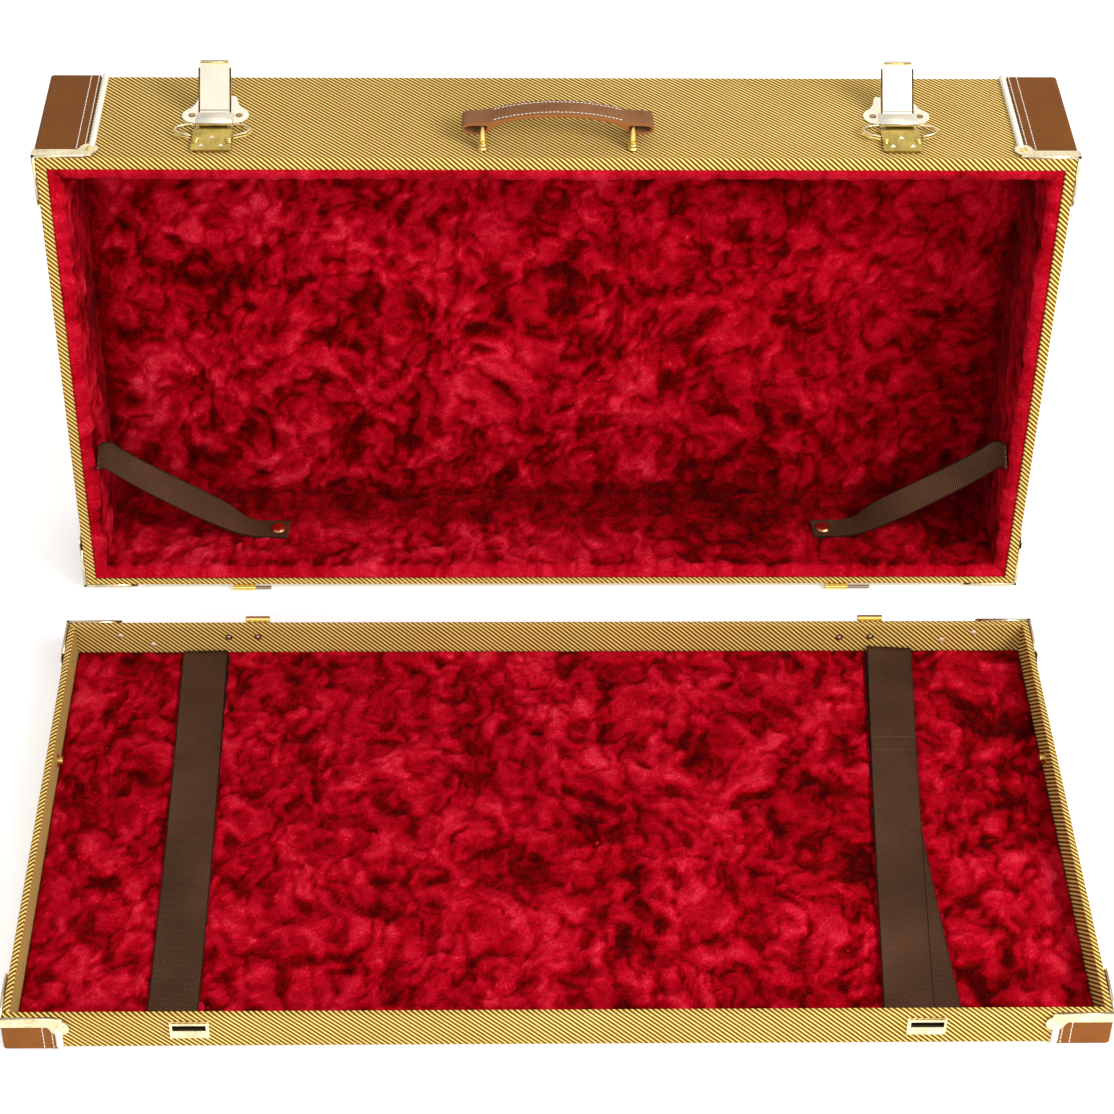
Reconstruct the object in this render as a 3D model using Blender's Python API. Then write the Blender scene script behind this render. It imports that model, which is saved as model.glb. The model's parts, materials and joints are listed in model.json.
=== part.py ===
"""Two-part tweed case: a shallow tray lying flat and a deep cover standing on its hinge wall behind it.

Metres, +Z up, -Y towards the front. The cover lifts off the tray on slip hinges; at rest it is off and upright.
Tray pieces are drawn from the tray's front edge centre, cover pieces from the cover's hinge-wall rim centre.
"""

import math

import bmesh
import bpy
from mathutils import Matrix, Vector

MM = 0.001

# Case
CASE_LENGTH = 900 * MM
CASE_DEPTH = 482 * MM
HALF = CASE_LENGTH / 2
FIT = 0.3 * MM
SKIN = 0.2 * MM

# Tray
TRAY_RIM = 38 * MM
TRAY_WALL = 6 * MM
TRAY_BASE = 1.8 * MM
TRAY_BOTTOM = 4 * MM
TRAY_PAD = 2.6 * MM

# Cover
COVER_DEEP = 136 * MM
COVER_FRONT_WALL = 12 * MM
COVER_SIDE_WALL = 9 * MM
COVER_HINGE_WALL = 6 * MM
COVER_PANEL = 6 * MM
LINING = 12 * MM
LINING_BACK = 8 * MM
LINING_SET_BACK = 2 * MM

# Slip hinges: the axis lies outside both walls, midway between the two rims when the case is shut
RIM_GAP = 0.6 * MM
AXIS_OUT = 3.6 * MM
KNUCKLE_R = 2.8 * MM
KNUCKLE_BORE_R = 2.28 * MM
BUSH_R = 2.2 * MM
BUSH_BORE_R = 1.78 * MM
PIN_R = 1.7 * MM
PIN_BORE_R = 1.8 * MM
LEAF = 0.9 * MM
HINGES = {
    "left": {"tray": (-284.5, -262.9), "cover": (-308.0, -287.0), "pin": -271.9, "leaf": (-308.0, -263.5)},
    "right": {"tray": (290.0, 312.5), "cover": (265.8, 287.6), "pin": 309.2, "leaf": (266.0, 312.0)},
}

# Where each half stands
FRONT_Y = -354.0 * MM
SIDE_STEP = 1.65 * MM
COVER_GAP = 573.1 * MM
TRAY_AT = Vector((-SIDE_STEP, FRONT_Y, 0))
COVER_AT = Vector((SIDE_STEP, FRONT_Y + COVER_GAP, AXIS_OUT + KNUCKLE_R))

# Corners
LEATHER = 1.6 * MM
LEATHER_REACH = 43.5 * MM
CLAMP = 0.8 * MM
CLAMP_LONG = 54 * MM
CLAMP_TALL = 9.4 * MM
CLAMP_OUT = SKIN + LEATHER + 0.25 * MM
LOBE_R = 8 * MM

# Latches
LATCH_X = 299.5 * MM
LATCH_PIVOT = (64 * MM, 4.6 * MM)
LEVER_LEAN = math.radians(40.5)
CLAW_PIVOT = (48.5 * MM, 3.6 * MM)
CLAW_REACH = 40 * MM
CLAW_DROOP = math.radians(1.6)
WIRE_R = 0.8 * MM

# Handle
HANDLE_POST_X = 65 * MM
HANDLE_FRONT = 21.5 * MM
HANDLE_WIDE = 23.5 * MM

SIDES = {"left": -1, "right": 1}


def clear_scene():
    for item in list(bpy.data.objects):
        bpy.data.objects.remove(item)


def material(name, colour, rough, metal=0.0):
    made = bpy.data.materials.new(name)
    made.use_nodes = True
    shader = made.node_tree.nodes["Principled BSDF"]
    shader.inputs["Base Color"].default_value = (*colour, 1)
    shader.inputs["Roughness"].default_value = rough
    shader.inputs["Metallic"].default_value = metal
    made.diffuse_color = (*colour, 1)
    return made


def make_materials():
    return {
        "tweed": material("tweed", (0.62, 0.42, 0.10), 0.85),
        "plush": material("plush", (0.45, 0.008, 0.02), 0.9),
        "corner_leather": material("corner_leather", (0.38, 0.14, 0.035), 0.55),
        "handle_leather": material("handle_leather", (0.27, 0.09, 0.04), 0.5),
        "webbing": material("webbing", (0.10, 0.045, 0.02), 0.85),
        "brass": material("brass", (0.83, 0.66, 0.33), 0.28, 1.0),
        "pale_brass": material("pale_brass", (0.93, 0.84, 0.62), 0.25, 1.0),
        "copper": material("copper", (0.72, 0.38, 0.22), 0.3, 1.0),
        "steel": material("steel", (0.45, 0.40, 0.36), 0.35, 1.0),
    }


# Body name: (parent body, origin on its joint's axis)
def hinge_axis():
    return TRAY_AT + Vector((0, CASE_DEPTH + AXIS_OUT, TRAY_RIM + RIM_GAP / 2))


def cover_point(x, v, w):
    return COVER_AT + Vector((x, v, w))


def on_top(x, v, h):
    """A point in the cover's own frame, h above the front wall's outer face."""
    return Vector((x, v, CASE_DEPTH + h))


def make_bodies():
    pin_axis = cover_point(0, -RIM_GAP / 2, -AXIS_OUT)
    places = {
        "tray": (None, TRAY_AT),
        "hinge_bushes": ("tray", hinge_axis()),
        "cover": ("hinge_bushes", pin_axis),
        "handle": ("cover", COVER_AT + on_top(0, HANDLE_FRONT + HANDLE_WIDE / 2, 20 * MM)),
    }
    for side, sign in SIDES.items():
        x = sign * LATCH_X
        places[f"lever_{side}"] = ("cover", COVER_AT + on_top(x, *LATCH_PIVOT))
        places[f"spring_{side}"] = ("cover", COVER_AT + on_top(x, *CLAW_PIVOT))
        places[f"claw_{side}"] = (f"spring_{side}", COVER_AT + on_top(x, *CLAW_PIVOT))
    bodies = {}
    for name, (parent, origin) in places.items():
        empty = bpy.data.objects.new(f"rig_{name}", None)
        empty.empty_display_size = 20 * MM
        bpy.context.scene.collection.objects.link(empty)
        empty.location = origin
        if parent:
            empty.parent = bodies[parent][0]
            empty.location = origin - bodies[parent][1]
        bodies[name] = (empty, origin)
    return bodies


# Shapes, in their own half's frame
def bevel_edges(bm, edges, width, segments):
    bmesh.ops.bevel(
        bm, geom=list(edges), offset=width, segments=segments, profile=0.5, affect="EDGES", clamp_overlap=True
    )


def box(low, high, bevel=0.0, segments=2, only=None):
    """A block. only(edge) picks the edges to round."""
    bm = bmesh.new()
    bmesh.ops.create_cube(bm, size=1)
    low, high = Vector(low), Vector(high)
    size = high - low
    for vert in bm.verts:
        vert.co = Vector((low[i] + (vert.co[i] + 0.5) * size[i] for i in range(3)))
    if bevel:
        bevel_edges(bm, [e for e in bm.edges if only is None or only(e)], bevel, segments)
    return bm


def prism(outline, axis, low, high):
    """An outline in the two other axes, in X, Y, Z order, pushed along axis from low to high."""
    bm = bmesh.new()
    others = [i for i in range(3) if i != axis]
    rings = []
    for along in (low, high):
        ring = []
        for a, b in outline:
            co = [0.0, 0.0, 0.0]
            co[axis], co[others[0]], co[others[1]] = along, a, b
            ring.append(bm.verts.new(co))
        rings.append(ring)
    bm.faces.new(rings[0])
    bm.faces.new(rings[1])
    count = len(outline)
    for i in range(count):
        j = (i + 1) % count
        bm.faces.new((rings[0][i], rings[0][j], rings[1][j], rings[1][i]))
    return faced_out(bm)


def faced_out(bm):
    bmesh.ops.recalc_face_normals(bm, faces=bm.faces)
    if bm.calc_volume(signed=True) < 0:
        bmesh.ops.reverse_faces(bm, faces=bm.faces)
    return bm


def turned(profile, axis, centre, steps=24, closed=False):
    """A profile of (along, radius) turned about the axis through centre. closed joins its ends, as for a tube."""
    bm = bmesh.new()
    others = [i for i in range(3) if i != axis]
    rings = []
    for along, radius in profile:
        ring = []
        for k in range(steps if radius > 0 else 1):
            angle = 2 * math.pi * k / steps
            co = Vector(centre)
            co[axis] += along
            co[others[0]] += radius * math.cos(angle)
            co[others[1]] += radius * math.sin(angle)
            ring.append(bm.verts.new(co))
        rings.append(ring)
    pairs = list(zip(rings, rings[1:]))
    if closed:
        pairs.append((rings[-1], rings[0]))
    for a, b in pairs:
        join_rings(bm, a, b, steps)
    return faced_out(bm)


def join_rings(bm, a, b, steps):
    for k in range(steps):
        j = (k + 1) % steps
        if len(a) == 1:
            bm.faces.new((a[0], b[k], b[j]))
        elif len(b) == 1:
            bm.faces.new((a[k], a[j], b[0]))
        else:
            bm.faces.new((a[k], a[j], b[j], b[k]))


def smooth_path(points, per_span=4):
    """Catmull-Rom points through the given ones."""
    ends = [points[0] * 2 - points[1], *points, points[-1] * 2 - points[-2]]
    path = []
    for i in range(1, len(ends) - 2):
        p0, p1, p2, p3 = ends[i - 1 : i + 3]
        for k in range(per_span):
            t = k / per_span
            path.append(
                0.5 * (2 * p1 + (p2 - p0) * t + (2 * p0 - 5 * p1 + 4 * p2 - p3) * t**2)
                + 0.5 * (3 * p1 - p0 - 3 * p2 + p3) * t**3
            )
    path.append(points[-1].copy())
    return path


def swept(path, section_at):
    """A closed solid through one loop of points per path point."""
    bm = bmesh.new()
    rings = [[bm.verts.new(p) for p in section_at(i)] for i in range(len(path))]
    for a, b in zip(rings, rings[1:]):
        for k in range(len(a)):
            j = (k + 1) % len(a)
            bm.faces.new((a[k], a[j], b[j], b[k]))
    bm.faces.new(rings[0])
    bm.faces.new(rings[-1])
    return faced_out(bm)


def tangent(path, i):
    return (path[min(i + 1, len(path) - 1)] - path[max(i - 1, 0)]).normalized()


def ribbon(path, acrosses, width, thick):
    """A strap along path; acrosses are its width directions at the path's points."""

    def section(i):
        along = tangent(path, i)
        across = acrosses[i] - along * acrosses[i].dot(along)
        across.normalize()
        out = along.cross(across)
        corners = ((-1, -1), (1, -1), (1, 1), (-1, 1))
        return [path[i] + across * (a * width / 2) + out * (b * thick / 2) for a, b in corners]

    return swept(path, section)


def wire(path, radius, sides=8):
    normals = [Vector((0, 0, 1))]
    for i in range(len(path)):
        along = tangent(path, i)
        normal = normals[-1] - along * normals[-1].dot(along)
        normals.append(normal.normalized())

    def section(i):
        along, normal = tangent(path, i), normals[i + 1]
        other = along.cross(normal)
        turns = [2 * math.pi * k / sides for k in range(sides)]
        return [path[i] + (normal * math.cos(t) + other * math.sin(t)) * radius for t in turns]

    return swept(path, section)


class Builder:
    """Turns shapes into named objects on their bodies."""

    def __init__(self, materials, bodies):
        self.materials = materials
        self.bodies = bodies

    def add(self, name, bm, at, body, look, smooth=False):
        empty, origin = self.bodies[body]
        bm.transform(Matrix.Translation(Vector(at) - origin))
        mesh = bpy.data.meshes.new(name)
        bm.to_mesh(mesh)
        bm.free()
        mesh.materials.append(self.materials[look])
        made = bpy.data.objects.new(name, mesh)
        bpy.context.scene.collection.objects.link(made)
        made.parent = empty
        if smooth:
            mesh.shade_smooth()
        return made

    def combine(self, target, bm, at, operation):
        origin = self.bodies[self.body_of(target)][1]
        bm.transform(Matrix.Translation(Vector(at) - origin))
        mesh = bpy.data.meshes.new(f"{target.name}_tool")
        bm.to_mesh(mesh)
        bm.free()
        tool = bpy.data.objects.new(f"{target.name}_tool", mesh)
        bpy.context.scene.collection.objects.link(tool)
        tool.parent = target
        tool.hide_render = True
        tool.display_type = "WIRE"
        modifier = target.modifiers.new(operation.lower(), "BOOLEAN")
        modifier.operation = operation
        modifier.solver = "EXACT"
        modifier.object = tool

    def body_of(self, target):
        return next(name for name, (empty, _) in self.bodies.items() if target.parent is empty)

    def cut(self, target, bm, at):
        self.combine(target, bm, at, "DIFFERENCE")

    def fuse(self, target, bm, at):
        self.combine(target, bm, at, "UNION")


def corner_box(corner, inward, low, high, bevel=0.0):
    """A block measured from a corner along three inward directions, each low to high."""
    a = [corner[i] + inward[i] * low[i] for i in range(3)]
    b = [corner[i] + inward[i] * high[i] for i in range(3)]
    lows = [min(p) for p in zip(a, b)]
    highs = [max(p) for p in zip(a, b)]
    outer = [corner[i] + inward[i] * low[i] for i in range(3)]

    def at_outer_corner(edge):
        hits = [sum(abs(v.co[i] - outer[i]) < 1e-7 for i in range(3)) for v in edge.verts]
        return sorted(hits) == [2, 3]

    return box(lows, highs, bevel, 3, at_outer_corner)


def leather_corner(build, name, corner, inward, reach, at, body):
    """A three-sided leather cup outside a corner; reach is its extent along each inward direction."""
    out = SKIN + LEATHER
    cup = build.add(
        name, corner_box(corner, inward, (-out,) * 3, reach, 3 * MM), at, body, "corner_leather"
    )
    build.cut(cup, corner_box(corner, inward, (-SKIN,) * 3, [r + 5 * MM for r in reach]), at)


def lobe_outline(length, tall, down, sign, along_low):
    """One arm of a clamp seen face on: a band with a round lobe at its end. down is the inward sign of the rim axis."""
    centre = (length - LOBE_R, tall + 1.6 * MM)
    start, stop = math.radians(-68), math.radians(172)
    arc = [start + (stop - start) * k / 12 for k in range(13)]
    points = [(along_low, SKIN / 2), (length - 5 * MM, SKIN / 2)]
    points += [(centre[0] + LOBE_R * math.cos(a), centre[1] + LOBE_R * math.sin(a)) for a in arc]
    points += [(centre[0] - LOBE_R - 2 * MM, tall), (along_low, tall)]
    return [(sign * a, down * b) for a, b in points]


def clamp(build, name, corner, inward, axes, at, body):
    """A corner clamp: two lobed arms that meet outside the corner, flush with the rim.
    axes are (first wall's run, its outward axis, rim axis)."""
    run, out, rim = axes
    t = CLAMP
    made = None
    for a, b in ((run, out), (out, run)):
        outline = lobe_outline(CLAMP_LONG, CLAMP_TALL, inward[rim], inward[a], -CLAMP_OUT - t)
        first, _ = sorted((a, rim))
        points = [
            ((corner[a] + p, corner[rim] + q) if first == a else (corner[rim] + q, corner[a] + p))
            for p, q in outline
        ]
        face = corner[b] - inward[b] * CLAMP_OUT
        arm = prism(points, b, *sorted((face, face - inward[b] * t)))
        if made is None:
            made = build.add(name, arm, at, body, "brass")
        else:
            build.fuse(made, arm, at)


# Tray
def tray_shell(build):
    inner = HALF - TRAY_WALL
    soft = dict(bevel=1.0 * MM, segments=2)
    base, rim, deep = TRAY_BASE, TRAY_RIM, CASE_DEPTH
    side_low, side_high = TRAY_WALL + FIT, deep - TRAY_WALL - FIT
    build.add("tray_front", box((-HALF, 0, base), (HALF, TRAY_WALL, rim), **soft), TRAY_AT, "tray", "tweed")
    build.add(
        "tray_rear", box((-HALF, deep - TRAY_WALL, base), (HALF, deep, rim), **soft), TRAY_AT, "tray", "tweed"
    )
    for side, sign in SIDES.items():
        x = sorted((sign * inner, sign * HALF))
        wall = box((x[0], side_low, base), (x[1], side_high, rim), **soft)
        build.add(f"tray_{side}", wall, TRAY_AT, "tray", "tweed")
    bottom = box((-inner + FIT, side_low, base), (inner - FIT, side_high, base + TRAY_BOTTOM))
    build.add("tray_bottom", bottom, TRAY_AT, "tray", "tweed")
    edge = inner - 2 * FIT
    low = base + TRAY_BOTTOM + FIT
    pad = box((-edge, side_low + FIT, low), (edge, side_high - FIT, low + TRAY_PAD), bevel=0.8 * MM)
    build.add("tray_pad", pad, TRAY_AT, "tray", "plush")


def tray_corners(build):
    rim_edge = TRAY_RIM - TRAY_BASE - 0.4 * MM
    for side, sign in SIDES.items():
        for end, y, inward_y in (("front", 0, 1), ("rear", CASE_DEPTH, -1)):
            corner = (sign * HALF, y, TRAY_BASE)
            inward = (-sign, inward_y, 1)
            reach = (LEATHER_REACH, LEATHER_REACH, rim_edge)
            leather_corner(build, f"tray_leather_{end}_{side}", corner, inward, reach, TRAY_AT, "tray")
            at_rim = (sign * HALF, y, TRAY_RIM)
            down = (-sign, inward_y, -1)
            clamp(build, f"tray_clamp_{end}_{side}", at_rim, down, (0, 1, 2), TRAY_AT, "tray")


def strap_block(x_rear, x_front, y_rear, y_front, low):
    half = 20.5 * MM
    outline = [
        (x_front * MM - half, y_front),
        (x_front * MM + half, y_front),
        (x_rear * MM + half, y_rear),
        (x_rear * MM - half, y_rear),
    ]
    return prism(outline, 2, low, low + 1.8 * MM)


def tray_straps(build):
    top = TRAY_BASE + TRAY_BOTTOM + TRAY_PAD + 2 * FIT
    rear, front = CASE_DEPTH - 9 * MM, 9 * MM
    build.add("strap_left", strap_block(-324, -316.5, rear, front, top), TRAY_AT, "tray", "webbing")
    build.add("strap_right_under", strap_block(302, 313, 262 * MM, front, top), TRAY_AT, "tray", "webbing")
    upper = strap_block(320, 288, rear, front, top + 2.1 * MM)
    build.add("strap_right", upper, TRAY_AT, "tray", "webbing")


def snap_studs(build):
    for side, sign in SIDES.items():
        face = sign * (HALF - TRAY_WALL)
        profile = [(0.2, 0), (0.2, 6.2), (1.2, 6.2), (1.7, 5.4), (1.7, 3.1), (3.6, 3.1), (4.2, 3.9), (5.2, 3.7)]
        profile += [(5.8, 2.4), (6.0, 0)]
        profile = [(-sign * a * MM, r * MM) for a, r in profile]
        stud = turned(profile, 0, (face, 316 * MM, 19 * MM), 20)
        build.add(f"snap_stud_{side}", stud, TRAY_AT, "tray", "brass", smooth=False)


def catches(build):
    """The plate that a claw hooks into: a raised trapezoid with a slot near its top edge."""
    for side, sign in SIDES.items():
        x = sign * LATCH_X
        face = -SKIN
        plate = prism(
            [(x - 16 * MM, 12.6 * MM), (x + 16 * MM, 12.6 * MM), (x + 16 * MM, 32.3 * MM), (x - 16 * MM, 32.3 * MM)],
            1,
            face - 0.8 * MM,
            face,
        )
        made = build.add(f"catch_{side}", plate, TRAY_AT, "tray", "pale_brass")
        raised = [
            (x - 14.8 * MM, 21.0 * MM),
            (x - 12.0 * MM, 14.6 * MM),
            (x + 12.0 * MM, 14.6 * MM),
            (x + 14.8 * MM, 21.0 * MM),
            (x + 14.8 * MM, 32.0 * MM),
            (x - 14.8 * MM, 32.0 * MM),
        ]
        build.fuse(made, prism(raised, 1, face - 2.5 * MM, face - 0.4 * MM), TRAY_AT)
        slot = box((x - 13.6 * MM, -5 * MM, 23.2 * MM), (x + 13.6 * MM, 1 * MM, 29.4 * MM))
        build.cut(made, slot, TRAY_AT)


def leaf_shape(span, edge_axis, face_axis, face, outward, edge, depth):
    """A hinge leaf plate: face_axis is the wall's normal, edge_axis runs away from the rim."""
    low, high = [0.0] * 3, [0.0] * 3
    low[0], high[0] = span[0] * MM, span[1] * MM
    low[face_axis], high[face_axis] = sorted((face + outward * SKIN, face + outward * (SKIN + LEAF)))
    low[edge_axis], high[edge_axis] = sorted((edge, edge + depth))
    return box(low, high)


def tube(span, centre, radius, bore, steps=24):
    half = (span[1] - span[0]) / 2 * MM
    middle = ((span[0] + span[1]) / 2 * MM, centre[0], centre[1])
    profile = [(-half, bore), (-half, radius), (half, radius), (half, bore)]
    return turned(profile, 0, middle, steps, closed=True)


def hinges(build):
    tray_axis = (CASE_DEPTH + AXIS_OUT, TRAY_RIM + RIM_GAP / 2)
    cover_axis = (-RIM_GAP / 2, -AXIS_OUT)
    for side, place in HINGES.items():
        leaf = leaf_shape(place["leaf"], 2, 1, CASE_DEPTH, 1, TRAY_RIM - 4.2 * MM, -24 * MM)
        made = build.add(f"tray_hinge_{side}", leaf, TRAY_AT, "tray", "brass")
        neck = leaf_shape(place["tray"], 2, 1, CASE_DEPTH, 1, tray_axis[1], -7 * MM)
        build.fuse(made, neck, TRAY_AT)
        build.fuse(made, turned_rod(place["tray"], tray_axis, KNUCKLE_R), TRAY_AT)
        build.cut(made, turned_rod(wider(place["tray"], 1), tray_axis, KNUCKLE_BORE_R), TRAY_AT)
        bush(build, side, place["tray"], tray_axis)

        leaf = leaf_shape(place["leaf"], 1, 2, 0, -1, 4.2 * MM, 24 * MM)
        made = build.add(f"cover_hinge_{side}", leaf, COVER_AT, "cover", "brass")
        neck = leaf_shape(place["cover"], 1, 2, 0, -1, cover_axis[0], 7 * MM)
        build.fuse(made, neck, COVER_AT)
        build.fuse(made, turned_rod(place["cover"], cover_axis, KNUCKLE_R), COVER_AT)
        build.cut(made, turned_rod(wider(place["cover"], 1), cover_axis, PIN_BORE_R), COVER_AT)
        hinge_pin(build, side, place, cover_axis)


def wider(span, by):
    return (span[0] - by, span[1] + by)


def turned_rod(span, centre, radius, steps=24):
    low, high = span[0] * MM, span[1] * MM
    at = (0, centre[0], centre[1])
    return turned([(low, 0), (low, radius), (high, radius), (high, 0)], 0, at, steps)


def bush(build, side, span, centre):
    """The liner of a tray knuckle, with a thin flange at the end the pin enters."""
    low, high = (span[0] - 0.9) * MM, (span[1] - 0.3) * MM
    flange = (span[0] - 0.3) * MM
    profile = [
        (low, BUSH_BORE_R),
        (low, KNUCKLE_R - 0.1 * MM),
        (flange, KNUCKLE_R - 0.1 * MM),
        (flange, BUSH_R),
        (high, BUSH_R),
        (high, BUSH_BORE_R),
    ]
    made = turned(profile, 0, (0, centre[0], centre[1]), 24, closed=True)
    build.add(f"hinge_bush_{side}", made, TRAY_AT, "hinge_bushes", "brass")


def hinge_pin(build, side, place, centre):
    low, high = (place["cover"][0] + 1) * MM, place["pin"] * MM
    tip = 0.6 * MM
    profile = [(low, 0), (low, PIN_R), (high - tip, PIN_R), (high, PIN_R - tip), (high, 0)]
    pin = turned(profile, 0, (0, centre[0], centre[1]), 24)
    build.add(f"hinge_pin_{side}", pin, COVER_AT, "cover", "steel")


# Cover
def cover_shell(build):
    soft = dict(bevel=1.0 * MM, segments=2)
    deep, tall = COVER_DEEP, CASE_DEPTH
    inner = HALF - COVER_SIDE_WALL
    front_low = tall - COVER_FRONT_WALL
    low, high = COVER_HINGE_WALL + FIT, front_low - FIT
    front = box((-HALF, 0, front_low), (HALF, deep, tall), **soft)
    build.add("cover_front", front, COVER_AT, "cover", "tweed")
    rear = box((-HALF, 0, 0), (HALF, deep, COVER_HINGE_WALL), **soft)
    build.add("cover_hinge_wall", rear, COVER_AT, "cover", "tweed")
    for side, sign in SIDES.items():
        x = sorted((sign * inner, sign * HALF))
        wall = box((x[0], 0, low), (x[1], deep, high), **soft)
        build.add(f"cover_{side}", wall, COVER_AT, "cover", "tweed")
    back = box((-inner + FIT, deep - COVER_PANEL, low), (inner - FIT, deep, high))
    build.add("cover_back", back, COVER_AT, "cover", "tweed")
    cover_lining(build, inner, low, high)


def cover_lining(build, inner, low, high):
    edge = inner - FIT
    back = COVER_DEEP - COVER_PANEL - FIT
    low, high = low + FIT, high - FIT
    tub = box((-edge, LINING_SET_BACK, low), (edge, back, high), bevel=1.0 * MM)
    made = build.add("cover_lining", tub, COVER_AT, "cover", "plush")
    hollow = box(
        (-edge + LINING, -20 * MM, low + LINING),
        (edge - LINING, back - LINING_BACK, high - LINING),
        bevel=6 * MM,
        segments=3,
    )
    build.cut(made, hollow, COVER_AT)


def cover_corners(build):
    depth = COVER_DEEP - 0.4 * MM
    for side, sign in SIDES.items():
        for end, w, inward_w in (("front", CASE_DEPTH, -1), ("hinge", 0, 1)):
            corner = (sign * HALF, COVER_DEEP, w)
            reach = (LEATHER_REACH, depth, LEATHER_REACH)
            inward = (-sign, -1, inward_w)
            leather_corner(build, f"cover_leather_{end}_{side}", corner, inward, reach, COVER_AT, "cover")
            at_rim = (sign * HALF, 0, w)
            inward = (-sign, 1, inward_w)
            clamp(build, f"cover_clamp_{end}_{side}", at_rim, inward, (0, 2, 1), COVER_AT, "cover")


def cover_glides(build):
    """Domed nails under the cover's two back corners, level with the hinge knuckles."""
    for side, sign in SIDES.items():
        top = -(SKIN + LEATHER + 0.2 * MM)
        low = -(AXIS_OUT + KNUCKLE_R)
        profile = [(top, 0), (top, 8 * MM), (top - 1.0 * MM, 8 * MM), (low + 1.2 * MM, 6.6 * MM)]
        profile += [(low, 4 * MM), (low, 0)]
        glide = turned(profile, 2, (sign * (HALF - 22 * MM), COVER_DEEP - 22 * MM, 0), 20)
        build.add(f"glide_{side}", glide, COVER_AT, "cover", "brass", smooth=False)


# A stay's centre line in mm (from the middle, depth, height), fixed end first, each with its width direction there
STAY_PATH = (
    ((425.9, 6, 151), (0, 0, 1)),
    ((421.5, 16, 147), (-0.1, 0.1, 1)),
    ((414, 23, 136), (-0.55, 0.2, 0.8)),
    ((388, 31, 109), (-0.6, 0.4, 0.7)),
    ((344, 45, 67), (-0.45, 0.6, 0.65)),
    ((318, 54, 42), (-0.25, 0.85, 0.45)),
    ((300, 59, 25.5), (0, 1, 0.12)),
    ((287, 60, 20.4), (0, 1, 0)),
    ((272, 60, 19.9), (0, 1, 0)),
    ((257, 59, 19.9), (0.1, 1, 0)),
)


def stays(build):
    for side, sign in SIDES.items():
        flip = Vector((sign, 1, 1))
        points = [Vector(point) * MM * flip for point, _ in STAY_PATH]
        across = [Vector(way) * flip for _, way in STAY_PATH]
        path, acrosses = smooth_path(points, 3), smooth_path(across, 3)
        strap = ribbon(path, acrosses, 25 * MM, 1.6 * MM)
        build.add(f"stay_{side}", strap, COVER_AT, "cover", "webbing")
        profile = [(0, 0), (0, 7.6), (0.8, 7.6), (2.0, 6.2), (2.7, 3.6), (2.9, 0)]
        profile = [(a * MM, r * MM) for a, r in profile]
        cap = turned(profile, 2, (sign * 267.3 * MM, 60 * MM, 21.0 * MM), 20)
        build.add(f"snap_cap_{side}", cap, COVER_AT, "cover", "copper")


# Latches, in the frame of the front wall's outer face
def latch_base(build, side, x):
    ear = [(-29.5, 68.6), (-28, 62.5), (-24, 57.5), (-18, 55.6), (-15.4, 55.6), (-15.4, 42)]
    taper = [(-15.4, 101), (-17, 98), (-18.8, 88), (-22, 81.5), (-26, 77.5), (-28.6, 73.5)]
    half = [*ear[::-1], *taper[::-1]]
    outline = [(x + a * MM, b * MM) for a, b in half] + [(x - a * MM, b * MM) for a, b in half[::-1]]
    low = CASE_DEPTH + SKIN
    made = build.add(f"latch_base_{side}", prism(outline, 2, low, low + 1.0 * MM), COVER_AT, "cover", "pale_brass")
    for sign in (-1, 1):
        hole = turned([(-5 * MM, 0), (-5 * MM, 2.7 * MM), (5 * MM, 2.7 * MM), (5 * MM, 0)], 2, (0, 0, 0), 16)
        build.cut(made, hole, COVER_AT + on_top(x + sign * 20.6 * MM, 68.6 * MM, 0))
        xs = sorted((x + sign * 15.3 * MM, x + sign * 16.4 * MM))
        cheek = box((xs[0], 53.2 * MM, low + 0.4 * MM), (xs[1], 67.5 * MM, low + 7.15 * MM))
        build.fuse(made, cheek, COVER_AT)
    bridge = [(44.2, 7.4), (61.6, 7.4), (61.6, 6.4), (46.0, 6.4), (45.2, 5.9), (44.2, 5.9)]
    roof = prism([(v * MM, CASE_DEPTH + h * MM) for v, h in bridge], 0, x - 16.4 * MM, x + 16.4 * MM)
    build.fuse(made, roof, COVER_AT)
    bore = turned_rod(((x / MM) - 20, (x / MM) + 20), (LATCH_PIVOT[0], CASE_DEPTH + LATCH_PIVOT[1]), 1.3 * MM, 16)
    build.cut(made, bore, COVER_AT)


def latch_lever(build, side, x):
    """Drawn upright as (depth, height) from its pivot, outer face to the front, then leant back to its rest angle."""
    face = [(-1.4, 0.0), (-1.4, 44.6), (-2.4, 46.0), (-4.4, 46.0), (-5.2, 44.8), (-5.2, 44.0), (-4.3, 44.0)]
    back = [(-4.3, 44.9), (-2.9, 44.9), (-2.5, 47.2), (-1.2, 47.2), (-0.2, 45.6), (-0.2, 0.0)]
    outline = [(a * MM, b * MM) for a, b in face + back]
    pieces = [prism(outline, 0, x - 12.8 * MM, x + 12.8 * MM)]
    for sign in (-1, 1):
        xs = sorted((x + sign * 12.4 * MM, x + sign * 14.2 * MM))
        profile = [(-0.9, -0.7), (3.0, -0.7), (3.0, 30), (1.2, 41), (-0.9, 41)]
        pieces.append(prism([(a * MM, b * MM) for a, b in profile], 0, *xs))
    pieces.append(turned_rod((x / MM - 13.8, x / MM + 13.8), (0, 0), 2.2 * MM, 16))
    pieces.append(turned_rod((x / MM - 16.2, x / MM + 16.2), (0, 0), 1.15 * MM, 16))
    at = COVER_AT + on_top(0, *LATCH_PIVOT)
    for bm in pieces:
        bm.transform(Matrix.Rotation(-LEVER_LEAN, 4, "X"))
    made = build.add(f"latch_lever_{side}", pieces[0], at, f"lever_{side}", "pale_brass")
    for bm in pieces[1:]:
        build.fuse(made, bm, at)


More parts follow.
